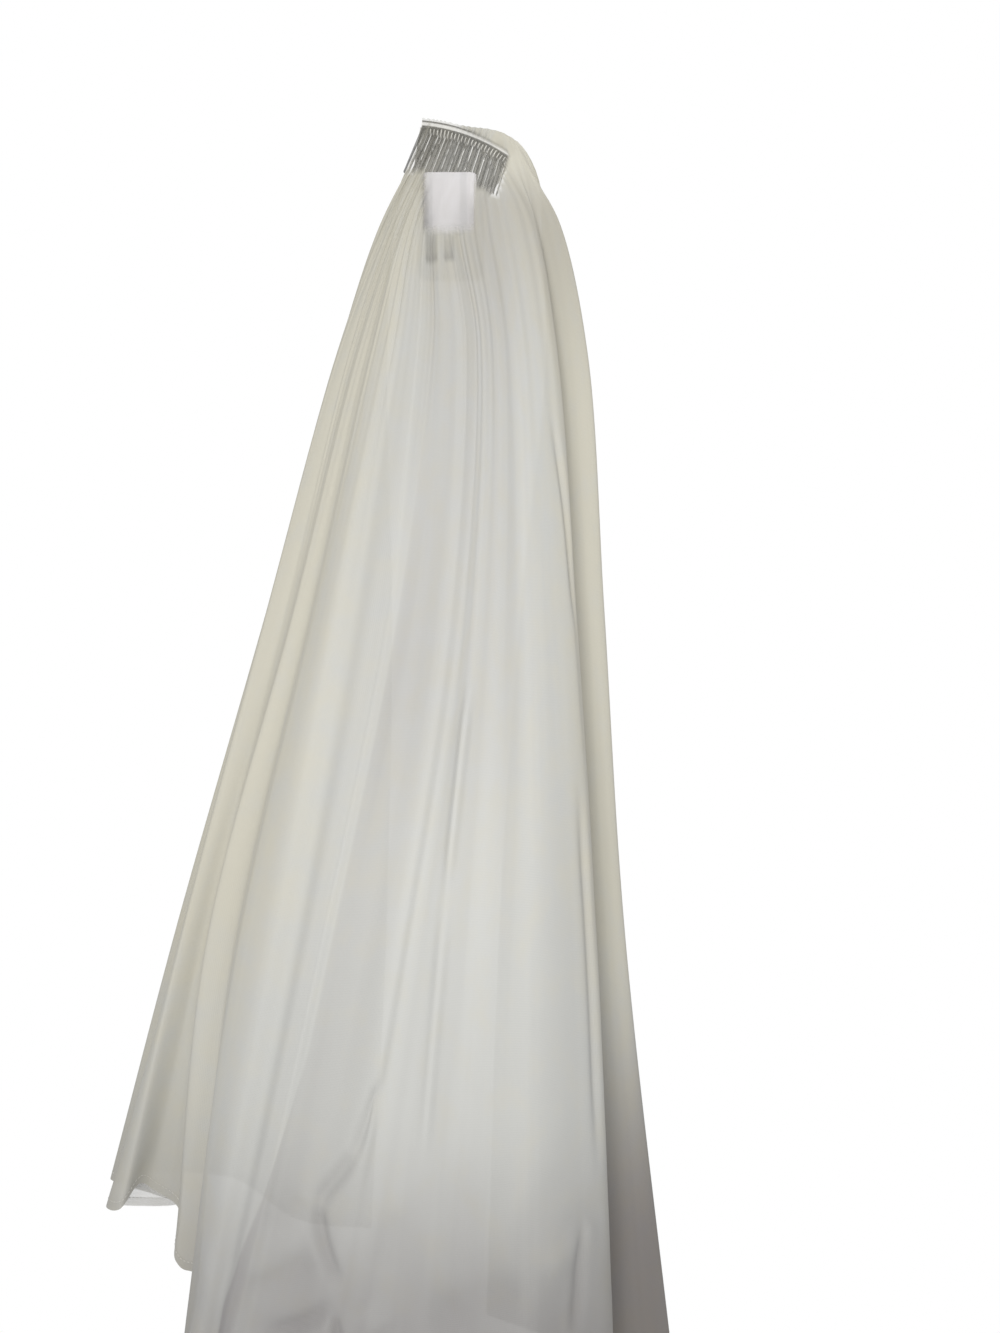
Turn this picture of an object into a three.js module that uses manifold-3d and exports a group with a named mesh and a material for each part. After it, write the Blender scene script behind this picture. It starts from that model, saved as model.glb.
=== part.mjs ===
// A bridal veil gathered onto a clear hair comb, hanging from a plain wall hook.
// Millimetres, +Z up, +X to the right as seen from the room, the wall is the plane y = 0
// and the cloth hangs on its -Y side. The origin is the middle of the hook's back face.
import * as THREE from 'three';
import { mergeVertices } from 'three/addons/utils/BufferGeometryUtils.js';
import Module from 'manifold-3d';

const wasm = await Module();
wasm.setup();

// Wall hook
const PLATE_WIDTH = 68;
const PLATE_TOP = 42;
const PLATE_BOTTOM = -58;
const PLATE_THICKNESS = 6;
const PLATE_CORNER = 9;
const LIP_WIDTH = 53;
const LIP_TOP = 37;
const LIP_BACK_Y = -30;
const LIP_THICKNESS = 7;
const CRADLE_BOTTOM = -52;
const CRADLE_THICKNESS = 8;
const CRADLE_CORNER = 30;
const LIP_SIDE_BEVEL = 6;
const LIP_FACE_BEVEL = 2.2;

// Hair comb
const COMB_TO_LIP = 0.3;
const COMB_CENTRE = { x: 16, z: 71 };
const COMB_TILT = THREE.MathUtils.degToRad(19.6);
const COMB_LENGTH = 91;
const COMB_RISE = 6;
const SPINE_HEIGHT = 7.5;
const COMB_THICKNESS = 3.2;
const COMB_BEVEL = 0.55;
const COMB_Y = LIP_BACK_Y + COMB_TO_LIP + COMB_THICKNESS / 2;
const TOOTH_COUNT = 26;
const TOOTH_LENGTH_LEFT = 48;
const TOOTH_LENGTH_RIGHT = 39;
const TOOTH_ROOT_WIDTH = 2.1;
const TOOTH_TIP_WIDTH = 1.3;
const TOOTH_FAN = THREE.MathUtils.degToRad(4);
const END_TOOTH_EXTRA = 0.7;
const SPINE_STEPS = 12;

// Cloth
const SEAM_GAP = 0.3;
const TULLE_WALL = 1.2;
const HEM_WALL = 0.8;
const HEM_HEIGHT = 8;
const GATHER_COUNT = 16;
const GATHER_SHIFT = 0.012;
const GATHER_SHIFT_RATE = 9;
const GATHER_DEPTH_CROWN = 0.3;
const GATHER_DEPTH = 0.8;
const GATHER_DEPTH_HANGING = 2.2;
const CROWN_LIFT_LEFT = 3;
const CROWN_LIFT_RIGHT = 12;
const CROWN_RISE_START = 0.35;
const CROWN_RISE_END = 0.85;
const CROWN_SHOULDER = 0.6;
const END_PUFF_START = 0.75;
const END_PUFF_FULL = 0.9;
const END_CROWN_INSET = 0.05;
const END_SHOULDER_REACH = 0.13;
const END_FOOT_REACH = 0.42;
const HEADING_DROP = 5;
const STEPS_PER_FOLD = 3;

// Heights of the four sections that the fold table gives
const HEIGHTS = { nape: -20, shoulder: -150, waist: -400, thigh: -700 };

// One row for each fold line, from the back left to the back right. 'at' is the share of the
// comb's spine at which the line starts; x and y are its place at the four heights above,
// and xh, yh, zh its place at the hem.
const FOLDS = [
  { fold: 'back left inner', at: 0.000, x0: -54, y0: -35, x1: -62, y1: -27,
    x2: -58, y2: -24, x3: -62, y3: -26, xh: -78, yh: -30, zh: -1010 },
  { fold: 'back left wave', at: 0.035, x0: -60, y0: -36.5, x1: -73, y1: -33,
    x2: -97, y2: -44, x3: -121, y3: -52, xh: -146, yh: -58, zh: -985 },
  { fold: 'back left turn', at: 0.070, x0: -65, y0: -38, x1: -92, y1: -30,
    x2: -132, y2: -32, x3: -181, y3: -34, xh: -215, yh: -38, zh: -955 },
  { fold: 'rear strip', at: 0.100, x0: -69, y0: -40, x1: -111, y1: -42,
    x2: -178, y2: -50, x3: -261, y3: -60, xh: -323, yh: -66, zh: -942 },
  { fold: 'facing end', at: 0.135, x0: -62, y0: -42, x1: -88, y1: -52,
    x2: -136, y2: -64, x3: -198, y3: -76, xh: -253, yh: -84, zh: -957 },
  { fold: 'roll back', at: 0.152, x0: -63, y0: -43, x1: -106, y1: -57,
    x2: -168, y2: -76, x3: -241, y3: -106, xh: -301, yh: -131, zh: -938 },
  { fold: 'roll', at: 0.172, x0: -60, y0: -45, x1: -105, y1: -64,
    x2: -168, y2: -88, x3: -238, y3: -122, xh: -282, yh: -150, zh: -927 },
  { fold: 'hollow', at: 0.200, x0: -54, y0: -48, x1: -93, y1: -69,
    x2: -149, y2: -93, x3: -219, y3: -116, xh: -264, yh: -126, zh: -925 },
  { fold: 'inner turn', at: 0.220, x0: -50, y0: -49.5, x1: -87, y1: -72,
    x2: -143, y2: -98, x3: -211, y3: -125, xh: -239, yh: -126, zh: -938 },
  { fold: 'second fold', at: 0.240, x0: -45, y0: -51, x1: -82, y1: -76,
    x2: -139, y2: -104, x3: -210, y3: -140, xh: -231, yh: -158, zh: -972 },
  { fold: 'under edge', at: 0.275, x0: -41, y0: -54, x1: -73, y1: -80,
    x2: -124, y2: -109, x3: -186, y3: -143, xh: -212, yh: -163, zh: -976 },
  { fold: 'front edge', at: 0.310, x0: -38, y0: -57, x1: -66, y1: -86,
    x2: -116, y2: -121, x3: -177, y3: -160, xh: -220, yh: -190, zh: -1060 },
  { fold: 'left ridge', at: 0.345, x0: -33, y0: -59, x1: -54, y1: -92,
    x2: -97, y2: -136, x3: -146, y3: -182, xh: -214, yh: -209, zh: -1100 },
  { fold: 'left trough', at: 0.380, x0: -28, y0: -59, x1: -45, y1: -91,
    x2: -79, y2: -136, x3: -126, y3: -182, xh: -207, yh: -210, zh: -1120 },
  { fold: 'flap ridge', at: 0.420, x0: -20, y0: -62, x1: -26, y1: -99,
    x2: -49, y2: -152, x3: -104, y3: -198, xh: -200, yh: -226, zh: -1140 },
  { fold: 'flap trough', at: 0.455, x0: -14, y0: -61, x1: -14, y1: -96,
    x2: -40, y2: -148, x3: -96, y3: -193, xh: -190, yh: -220, zh: -1150 },
  { fold: 'mid ridge', at: 0.490, x0: -8, y0: -63, x1: -4, y1: -99,
    x2: -17, y2: -151, x3: -66, y3: -193, xh: -154, yh: -225, zh: -1163 },
  { fold: 'second ridge', at: 0.530, x0: 1, y0: -65, x1: 16, y1: -104,
    x2: 6, y2: -159, x3: -36, y3: -203, xh: -121, yh: -239, zh: -1173 },
  { fold: 'second trough', at: 0.565, x0: 8, y0: -64, x1: 26, y1: -101,
    x2: 17, y2: -155, x3: -26, y3: -199, xh: -107, yh: -235, zh: -1179 },
  { fold: 'lit ridge', at: 0.600, x0: 17, y0: -66, x1: 35, y1: -104,
    x2: 29, y2: -162, x3: 2, y3: -209, xh: -48, yh: -245, zh: -1184 },
  { fold: 'lit trough', at: 0.640, x0: 31, y0: -65, x1: 48, y1: -101,
    x2: 47, y2: -158, x3: 30, y3: -205, xh: 0, yh: -240, zh: -1188 },
  { fold: 'panel ridge', at: 0.690, x0: 48, y0: -69, x1: 66, y1: -107,
    x2: 73, y2: -170, x3: 76, y3: -218, xh: 67, yh: -256, zh: -1190 },
  { fold: 'panel side', at: 0.745, x0: 66, y0: -66, x1: 85, y1: -99,
    x2: 98, y2: -158, x3: 111, y3: -200, xh: 124, yh: -231, zh: -1183 },
  { fold: 'right edge', at: 0.800, x0: 83, y0: -60, x1: 103, y1: -88,
    x2: 118, y2: -136, x3: 133, y3: -176, xh: 148, yh: -212, zh: -1168 },
  { fold: 'right return', at: 0.850, x0: 84, y0: -52, x1: 101, y1: -68,
    x2: 111, y2: -98, x3: 122, y3: -124, xh: 133, yh: -154, zh: -1150 },
  { fold: 'right strip', at: 0.900, x0: 109, y0: -47, x1: 135, y1: -57,
    x2: 149, y2: -76, x3: 166, y3: -96, xh: 213, yh: -110, zh: -1132 },
  { fold: 'back right turn', at: 0.950, x0: 99, y0: -41, x1: 115, y1: -38,
    x2: 120, y2: -44, x3: 122, y3: -56, xh: 142, yh: -61, zh: -1115 },
  { fold: 'back right inner', at: 1.000, x0: 91, y0: -36, x1: 95, y1: -28,
    x2: 70, y2: -30, x3: 50, y3: -36, xh: 37, yh: -38, zh: -1090 },
];

// Rows of the cloth's grid, as places along a fold line: 0 is behind the spine, 2 over it,
// 4 in front of it, 5 to 8 are the four heights and 9 is the hem.
const GRID_ROWS = [0, 1, 2, 3, 4, 4.5, 5, 5.5, 6, 6.34, 6.67, 7, 7.34, 7.67, 8, 8.25, 8.5, 8.75, 9];
const CROWN_ROW = 2;
const FRONT_ROW = 4;
const HANGING_ROW = 5;
const SMOOTH_ROW = 7;

const TULLE = new THREE.MeshStandardMaterial({ color: 0xe6e3d8, roughness: 0.75, metalness: 0 });
const HEM = new THREE.MeshStandardMaterial({ color: 0xe9e5d9, roughness: 0.75, metalness: 0 });
const COMB_PLASTIC = new THREE.MeshStandardMaterial({ color: 0xdfe1de, roughness: 0.12, metalness: 0 });
const HOOK_PLASTIC = new THREE.MeshStandardMaterial({ color: 0xf2f1ef, roughness: 0.35, metalness: 0 });

// The spine is an arc through its two ends and its raised middle.
const ARC_RADIUS = ((COMB_LENGTH / 2) ** 2 + COMB_RISE ** 2) / (2 * COMB_RISE);
const ARC_HALF_ANGLE = Math.asin(COMB_LENGTH / 2 / ARC_RADIUS);

// A point of the comb's own plane: 'share' runs along the spine from left to right and
// 'lift' is the height over the spine's lower edge.
function combPoint(share, lift) {
  const angle = (share - 0.5) * 2 * ARC_HALF_ANGLE;
  const radius = ARC_RADIUS + lift;
  return new THREE.Vector2(radius * Math.sin(angle), radius * Math.cos(angle) - ARC_RADIUS + COMB_RISE / 2);
}

// The same point in the part's frame, once the comb is tilted with its right end down.
function tiltedCombPoint(share, lift, y) {
  const flat = combPoint(share, lift).rotateAround(new THREE.Vector2(0, 0), -COMB_TILT);
  return new THREE.Vector3(COMB_CENTRE.x + flat.x, y, COMB_CENTRE.z + flat.y);
}

function combOutline() {
  const shape = new THREE.Shape();
  for (let i = 0; i <= SPINE_STEPS; i++) {
    const top = combPoint(i / SPINE_STEPS, SPINE_HEIGHT);
    if (i === 0) shape.moveTo(top.x, top.y);
    else shape.lineTo(top.x, top.y);
  }
  for (let i = TOOTH_COUNT - 1; i >= 0; i--) {
    const along = i / (TOOTH_COUNT - 1);
    const isEnd = i === 0 || i === TOOTH_COUNT - 1;
    const root = (TOOTH_ROOT_WIDTH + (isEnd ? END_TOOTH_EXTRA : 0)) / 2;
    const tip = TOOTH_TIP_WIDTH / 2;
    const inset = (TOOTH_ROOT_WIDTH + END_TOOTH_EXTRA) / 2 / COMB_LENGTH;
    const foot = combPoint(inset + along * (1 - 2 * inset), 0);
    const lean = (along - 0.5) * 2 * TOOTH_FAN;
    const length = THREE.MathUtils.lerp(TOOTH_LENGTH_LEFT, TOOTH_LENGTH_RIGHT, along);
    const down = new THREE.Vector2(Math.sin(lean), -Math.cos(lean));
    const side = new THREE.Vector2(-down.y, down.x);
    const place = (across, below) => {
      const p = foot.clone().addScaledVector(side, across).addScaledVector(down, below);
      shape.lineTo(p.x, p.y);
    };
    place(root, 0);
    place(tip, length - tip);
    place(0, length);
    place(-tip, length - tip);
    place(-root, 0);
  }
  shape.closePath();
  return shape;
}

function buildComb() {
  const geometry = new THREE.ExtrudeGeometry(combOutline(), {
    depth: COMB_THICKNESS - 2 * COMB_BEVEL,
    bevelEnabled: true,
    bevelThickness: COMB_BEVEL,
    bevelSize: COMB_BEVEL,
    bevelOffset: -COMB_BEVEL,
    bevelSegments: 1,
    curveSegments: 4,
  });
  geometry.translate(0, 0, -COMB_THICKNESS / 2 + COMB_BEVEL);
  geometry.rotateZ(-COMB_TILT);
  geometry.rotateX(Math.PI / 2);
  const comb = new THREE.Mesh(geometry, COMB_PLASTIC);
  comb.name = 'comb';
  comb.position.set(COMB_CENTRE.x, COMB_Y, COMB_CENTRE.z);
  return comb;
}

const MERGE_TOLERANCE = 1e-4;

// A closed solid for joining, from a geometry whose shared corners are merged.
function solidOf(geometry) {
  const bare = geometry.clone();
  bare.deleteAttribute('normal');
  bare.deleteAttribute('uv');
  const merged = mergeVertices(bare, MERGE_TOLERANCE);
  return new wasm.Manifold(new wasm.Mesh({
    numProp: 3,
    vertProperties: new Float32Array(merged.attributes.position.array),
    triVerts: new Uint32Array(merged.index.array),
  }));
}

function geometryOf(solid) {
  const mesh = solid.getMesh();
  const geometry = new THREE.BufferGeometry();
  geometry.setAttribute('position', new THREE.BufferAttribute(mesh.vertProperties, 3));
  geometry.setIndex(new THREE.BufferAttribute(mesh.triVerts, 1));
  return geometry;
}

function roundedPlateOutline() {
  const left = -PLATE_WIDTH / 2;
  const right = PLATE_WIDTH / 2;
  const r = PLATE_CORNER;
  const shape = new THREE.Shape();
  shape.moveTo(left + r, PLATE_BOTTOM);
  shape.lineTo(right - r, PLATE_BOTTOM);
  shape.absarc(right - r, PLATE_BOTTOM + r, r, -Math.PI / 2, 0, false);
  shape.absarc(right - r, PLATE_TOP - r, r, 0, Math.PI / 2, false);
  shape.absarc(left + r, PLATE_TOP - r, r, Math.PI / 2, Math.PI, false);
  shape.absarc(left + r, PLATE_BOTTOM + r, r, Math.PI, Math.PI * 1.5, false);
  return shape;
}

// Side view of the hook's arm: out from the plate, round the cradle and up to the lip's top.
function hookArmOutline() {
  const front = LIP_BACK_Y - LIP_THICKNESS;
  const outer = CRADLE_CORNER;
  const inner = outer - LIP_THICKNESS;
  const cradleTop = CRADLE_BOTTOM + CRADLE_THICKNESS;
  const root = -PLATE_THICKNESS / 2;
  const shape = new THREE.Shape();
  shape.moveTo(root, CRADLE_BOTTOM);
  shape.lineTo(root, cradleTop);
  shape.lineTo(LIP_BACK_Y + inner, cradleTop);
  shape.absarc(LIP_BACK_Y + inner, cradleTop + inner, inner, -Math.PI / 2, Math.PI, true);
  shape.lineTo(LIP_BACK_Y, LIP_TOP - LIP_THICKNESS / 2);
  shape.absarc(LIP_BACK_Y - LIP_THICKNESS / 2, LIP_TOP - LIP_THICKNESS / 2, LIP_THICKNESS / 2, 0, Math.PI, false);
  shape.lineTo(front, CRADLE_BOTTOM + outer);
  shape.absarc(front + outer, CRADLE_BOTTOM + outer, outer, Math.PI, Math.PI * 1.5, false);
  shape.closePath();
  return shape;
}

function buildHook() {
  const plate = new THREE.ExtrudeGeometry(roundedPlateOutline(), {
    depth: PLATE_THICKNESS,
    bevelEnabled: false,
    curveSegments: 6,
  });
  plate.rotateX(Math.PI / 2);
  const arm = new THREE.ExtrudeGeometry(hookArmOutline(), {
    depth: LIP_WIDTH - 2 * LIP_SIDE_BEVEL,
    bevelEnabled: true,
    bevelThickness: LIP_SIDE_BEVEL,
    bevelSize: LIP_FACE_BEVEL,
    bevelOffset: -LIP_FACE_BEVEL,
    bevelSegments: 2,
    curveSegments: 8,
  });
  arm.translate(0, 0, -LIP_WIDTH / 2 + LIP_SIDE_BEVEL);
  const outlineToFrame = new THREE.Matrix4().makeBasis(
    new THREE.Vector3(0, 1, 0),
    new THREE.Vector3(0, 0, 1),
    new THREE.Vector3(1, 0, 0),
  );
  arm.applyMatrix4(outlineToFrame);
  const hook = new THREE.Mesh(geometryOf(solidOf(plate).add(solidOf(arm))), HOOK_PLASTIC);
  hook.name = 'wall_hook';
  return hook;
}

// The height of the gathered heading over the spine, low at the left and domed at the right.
function crownLift(share) {
  const rise = THREE.MathUtils.smoothstep(share, CROWN_RISE_START, CROWN_RISE_END);
  return THREE.MathUtils.lerp(CROWN_LIFT_LEFT, CROWN_LIFT_RIGHT, rise);
}

// The line that one fold follows, over the spine and down to the hem. At the right end the
// lines puff out past the comb as they come down in front.
function foldLine(row) {
  const clear = COMB_THICKNESS / 2 + 2 * SEAM_GAP + TULLE_WALL / 2 + GATHER_DEPTH;
  const share = row.at;
  const foot = SPINE_HEIGHT - HEADING_DROP;
  const crown = SPINE_HEIGHT + crownLift(share);
  const shoulder = SPINE_HEIGHT + CROWN_SHOULDER * crownLift(share);
  const end = THREE.MathUtils.smoothstep(share, END_PUFF_START, END_PUFF_FULL);
  return new THREE.CatmullRomCurve3([
    tiltedCombPoint(share, foot, COMB_Y + clear),
    tiltedCombPoint(share, shoulder, COMB_Y + clear),
    tiltedCombPoint(share - END_CROWN_INSET * end, crown, COMB_Y),
    tiltedCombPoint(share + END_SHOULDER_REACH * end, shoulder, COMB_Y - clear),
    tiltedCombPoint(share + END_FOOT_REACH * end, foot, COMB_Y - clear),
    new THREE.Vector3(row.x0, row.y0, HEIGHTS.nape),
    new THREE.Vector3(row.x1, row.y1, HEIGHTS.shoulder),
    new THREE.Vector3(row.x2, row.y2, HEIGHTS.waist),
    new THREE.Vector3(row.x3, row.y3, HEIGHTS.thigh),
    new THREE.Vector3(row.xh, row.yh, row.zh),
  ], false, 'centripetal');
}

// How deep the small gathers are at a grid row: shallow over the spine, deepest just under
// the comb, and gone once the large folds have opened.
function gatherDepth(place) {
  if (place <= CROWN_ROW) return GATHER_DEPTH_CROWN;
  if (place <= FRONT_ROW) {
    return THREE.MathUtils.mapLinear(place, CROWN_ROW, FRONT_ROW, GATHER_DEPTH_CROWN, GATHER_DEPTH);
  }
  if (place <= HANGING_ROW) return THREE.MathUtils.lerp(GATHER_DEPTH, GATHER_DEPTH_HANGING, place - FRONT_ROW);
  return GATHER_DEPTH_HANGING * (1 - THREE.MathUtils.smoothstep(place, HANGING_ROW, SMOOTH_ROW));
}

// The cloth's middle surface as a grid of points: one line of points for each grid row.
function clothGrid() {
  const lines = FOLDS.map(foldLine);
  const lastPlace = GRID_ROWS[GRID_ROWS.length - 1];
  const columns = (FOLDS.length - 1) * STEPS_PER_FOLD;
  return GRID_ROWS.map((place) => {
    const section = lines.map((line) => line.getPoint(place / lastPlace));
    const around = new THREE.CatmullRomCurve3(section, false, 'centripetal');
    const points = [];
    for (let j = 0; j <= columns; j++) points.push(around.getPoint(j / columns));
    return points;
  });
}

// The outward direction at each grid point, from its neighbours across and down.
function gridNormals(grid) {
  const rows = grid.length;
  const columns = grid[0].length;
  return grid.map((line, i) => line.map((_, j) => {
    const across = grid[i][Math.min(j + 1, columns - 1)].clone().sub(grid[i][Math.max(j - 1, 0)]);
    const down = grid[Math.min(i + 1, rows - 1)][j].clone().sub(grid[Math.max(i - 1, 0)][j]);
    return down.cross(across).normalize();
  }));
}

function gather(grid) {
  const normals = gridNormals(grid);
  return grid.map((line, i) => line.map((point, j) => {
    const share = j / (line.length - 1);
    const shift = GATHER_SHIFT * Math.sin(GATHER_SHIFT_RATE * share);
    const wave = Math.sin(2 * Math.PI * GATHER_COUNT * (share + shift));
    return point.clone().addScaledVector(normals[i][j], gatherDepth(GRID_ROWS[i]) * wave);
  }));
}

// A closed wall between two grids of points of the same size.
function wallBetween(outer, inner) {
  const rows = outer.length;
  const columns = outer[0].length;
  const positions = [];
  for (const grid of [outer, inner]) {
    for (const line of grid) {
      for (const point of line) positions.push(point.x, point.y, point.z);
    }
  }
  const innerStart = rows * columns;
  const outerAt = (i, j) => i * columns + j;
  const innerAt = (i, j) => innerStart + i * columns + j;
  const index = [];
  const quad = (a, b, c, d) => index.push(a, b, c, a, c, d);
  for (let i = 0; i + 1 < rows; i++) {
    for (let j = 0; j + 1 < columns; j++) {
      quad(outerAt(i, j), outerAt(i + 1, j), outerAt(i + 1, j + 1), outerAt(i, j + 1));
      quad(innerAt(i, j), innerAt(i, j + 1), innerAt(i + 1, j + 1), innerAt(i + 1, j));
    }
  }
  for (let j = 0; j + 1 < columns; j++) {
    quad(outerAt(0, j), outerAt(0, j + 1), innerAt(0, j + 1), innerAt(0, j));
    quad(outerAt(rows - 1, j + 1), outerAt(rows - 1, j), innerAt(rows - 1, j), innerAt(rows - 1, j + 1));
  }
  for (let i = 0; i + 1 < rows; i++) {
    quad(outerAt(i + 1, 0), outerAt(i, 0), innerAt(i, 0), innerAt(i + 1, 0));
    quad(outerAt(i, columns - 1), outerAt(i + 1, columns - 1), innerAt(i + 1, columns - 1), innerAt(i, columns - 1));
  }
  const geometry = new THREE.BufferGeometry();
  geometry.setAttribute('position', new THREE.Float32BufferAttribute(positions, 3));
  geometry.setIndex(index);
  return geometry;
}

function moved(grid, normals, distance) {
  return grid.map((line, i) => line.map((point, j) => point.clone().addScaledVector(normals[i][j], distance)));
}

function buildTulle(grid, normals) {
  const outer = moved(grid, normals, TULLE_WALL / 2);
  const inner = moved(grid, normals, -TULLE_WALL / 2);
  const tulle = new THREE.Mesh(wallBetween(outer, inner), TULLE);
  tulle.name = 'veil_tulle';
  return tulle;
}

// The hem is turned up on the inside: a narrow strip that follows the cloth's lower edge.
function buildHem(grid, normals) {
  const last = grid.length - 1;
  const strip = [];
  const directions = [];
  for (const share of [1, 0.5, 0]) {
    strip.push(grid[last].map((foot, j) => {
      const up = grid[last - 1][j].clone().sub(foot).normalize();
      return foot.clone().addScaledVector(up, share * HEM_HEIGHT);
    }));
    directions.push(normals[last]);
  }
  const near = TULLE_WALL / 2 + SEAM_GAP;
  const hem = new THREE.Mesh(
    wallBetween(moved(strip, directions, -near), moved(strip, directions, -near - HEM_WALL)),
    HEM,
  );
  hem.name = 'hem_fold';
  return hem;
}

const veil = new THREE.Group();
const grid = gather(clothGrid());
const normals = gridNormals(grid);
veil.add(buildHook(), buildComb(), buildTulle(grid, normals), buildHem(grid, normals));

export default veil;
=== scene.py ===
"""A bridal veil of ivory tulle, gathered onto a clear comb that hangs from a white wall hook.

Everything is in metres, with +Z up and the wall in the plane y = 0. The cloth is one panel:
a table of fold lines is smoothed into a fine sheet, its small gathers and creases are moved
along its own outward direction, and its hem, its thread and its finishes are added on top.
"""
import logging
import math
from dataclasses import dataclass, field
from enum import Enum, IntEnum

import bpy
import numpy as np
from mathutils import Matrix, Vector


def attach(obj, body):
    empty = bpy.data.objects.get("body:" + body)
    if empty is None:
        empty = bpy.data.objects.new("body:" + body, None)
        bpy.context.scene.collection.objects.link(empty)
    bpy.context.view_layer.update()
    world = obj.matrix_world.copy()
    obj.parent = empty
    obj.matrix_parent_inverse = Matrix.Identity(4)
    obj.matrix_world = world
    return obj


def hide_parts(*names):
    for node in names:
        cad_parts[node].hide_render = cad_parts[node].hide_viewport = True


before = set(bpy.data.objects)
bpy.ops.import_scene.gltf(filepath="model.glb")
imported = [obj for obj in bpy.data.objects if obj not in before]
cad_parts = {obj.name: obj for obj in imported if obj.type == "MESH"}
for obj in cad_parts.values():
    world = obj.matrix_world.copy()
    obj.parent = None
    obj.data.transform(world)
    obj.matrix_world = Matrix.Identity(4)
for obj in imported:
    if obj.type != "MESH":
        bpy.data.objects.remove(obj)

log = logging.getLogger("veil")
MM = 0.001
EYE = (0.05, -1.03, -0.452)

Socket = bpy.types.NodeSocket
Numbers = np.ndarray | float
Pair = tuple[float, float]
Colour = tuple[float, float, float]
Place = tuple[float, float, float]


class Side(Enum):
    """Which face of the cloth a piece lies on."""

    OUTSIDE = 1
    INSIDE = -1


class Row(IntEnum):
    """Some of the places along each fold line, counted from the heading's end behind the comb."""

    CROWN = 2
    FOOT = 4
    NAPE = 5
    WAIST = 7
    HEM = 9


class Crease(Enum):
    """Whether a crease stands out of the cloth or sinks into it."""

    RIDGE = 1
    TROUGH = -1


@dataclass(frozen=True)
class FoldLine:
    """One fold of the cloth: its start on the spine, and its place at four heights and the hem, in mm."""

    name: str
    at: float
    nape: Pair
    shoulder: Pair
    waist: Pair
    thigh: Pair
    hem: Place


@dataclass(frozen=True)
class CreaseLine:
    """One crease pressed into the front: its ends as (x, z), its half width and height, in mm."""

    start: Pair
    end: Pair
    half_width: float
    height: float
    kind: Crease
    bow: float = 0.0


FOLDS = (
    #        fold               at     nape        shoulder     waist         thigh         hem
    FoldLine("back left inner", 0.000, (-54, -35), (-62, -27), (-58, -24), (-62, -26), (-78, -30, -1010)),
    FoldLine("back left wave", 0.035, (-60, -36.5), (-73, -33), (-97, -44), (-121, -52), (-146, -58, -985)),
    FoldLine("back left turn", 0.070, (-65, -38), (-92, -30), (-132, -32), (-181, -34), (-215, -38, -955)),
    FoldLine("rear strip", 0.100, (-69, -40), (-111, -42), (-178, -50), (-261, -60), (-323, -66, -942)),
    FoldLine("facing end", 0.135, (-62, -42), (-88, -52), (-136, -64), (-198, -76), (-253, -84, -957)),
    FoldLine("roll back", 0.152, (-63, -43), (-106, -57), (-168, -76), (-241, -106), (-301, -131, -938)),
    FoldLine("roll", 0.172, (-60, -45), (-105, -64), (-168, -88), (-238, -122), (-282, -150, -927)),
    FoldLine("hollow", 0.200, (-54, -48), (-93, -69), (-149, -93), (-219, -116), (-264, -126, -925)),
    FoldLine("inner turn", 0.220, (-50, -49.5), (-87, -72), (-143, -98), (-211, -125), (-239, -126, -938)),
    FoldLine("second fold", 0.240, (-45, -51), (-82, -76), (-139, -104), (-210, -140), (-231, -158, -972)),
    FoldLine("under edge", 0.275, (-41, -54), (-73, -80), (-124, -109), (-186, -143), (-212, -163, -976)),
    FoldLine("front edge", 0.310, (-38, -57), (-66, -86), (-116, -121), (-177, -160), (-220, -190, -1060)),
    FoldLine("left ridge", 0.345, (-33, -59), (-54, -92), (-97, -136), (-146, -182), (-214, -209, -1100)),
    FoldLine("left trough", 0.380, (-28, -59), (-45, -91), (-79, -136), (-126, -182), (-207, -210, -1120)),
    FoldLine("flap ridge", 0.420, (-20, -62), (-26, -99), (-49, -152), (-104, -198), (-200, -226, -1140)),
    FoldLine("flap trough", 0.455, (-14, -61), (-14, -96), (-40, -148), (-96, -193), (-190, -220, -1150)),
    FoldLine("mid ridge", 0.490, (-8, -63), (-4, -99), (-17, -151), (-66, -193), (-154, -225, -1163)),
    FoldLine("second ridge", 0.530, (1, -65), (16, -104), (6, -159), (-36, -203), (-121, -239, -1173)),
    FoldLine("second trough", 0.565, (8, -64), (26, -101), (17, -155), (-26, -199), (-107, -235, -1179)),
    FoldLine("lit ridge", 0.600, (17, -66), (35, -104), (29, -162), (2, -209), (-48, -245, -1184)),
    FoldLine("lit trough", 0.640, (31, -65), (48, -101), (47, -158), (30, -205), (0, -240, -1188)),
    FoldLine("panel ridge", 0.690, (48, -69), (66, -107), (73, -170), (76, -218), (67, -256, -1190)),
    FoldLine("panel side", 0.745, (66, -66), (85, -99), (98, -158), (111, -200), (124, -231, -1183)),
    FoldLine("right edge", 0.800, (83, -60), (103, -88), (118, -136), (133, -176), (148, -212, -1168)),
    FoldLine("right return", 0.850, (84, -52), (101, -68), (111, -98), (122, -124), (133, -154, -1150)),
    FoldLine("right strip", 0.900, (109, -47), (135, -57), (149, -76), (166, -96), (213, -110, -1132)),
    FoldLine("back right turn", 0.950, (99, -41), (115, -38), (120, -44), (122, -56), (142, -61, -1115)),
    FoldLine("back right inner", 1.000, (91, -36), (95, -28), (70, -30), (50, -36), (37, -38, -1090)),
)

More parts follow.
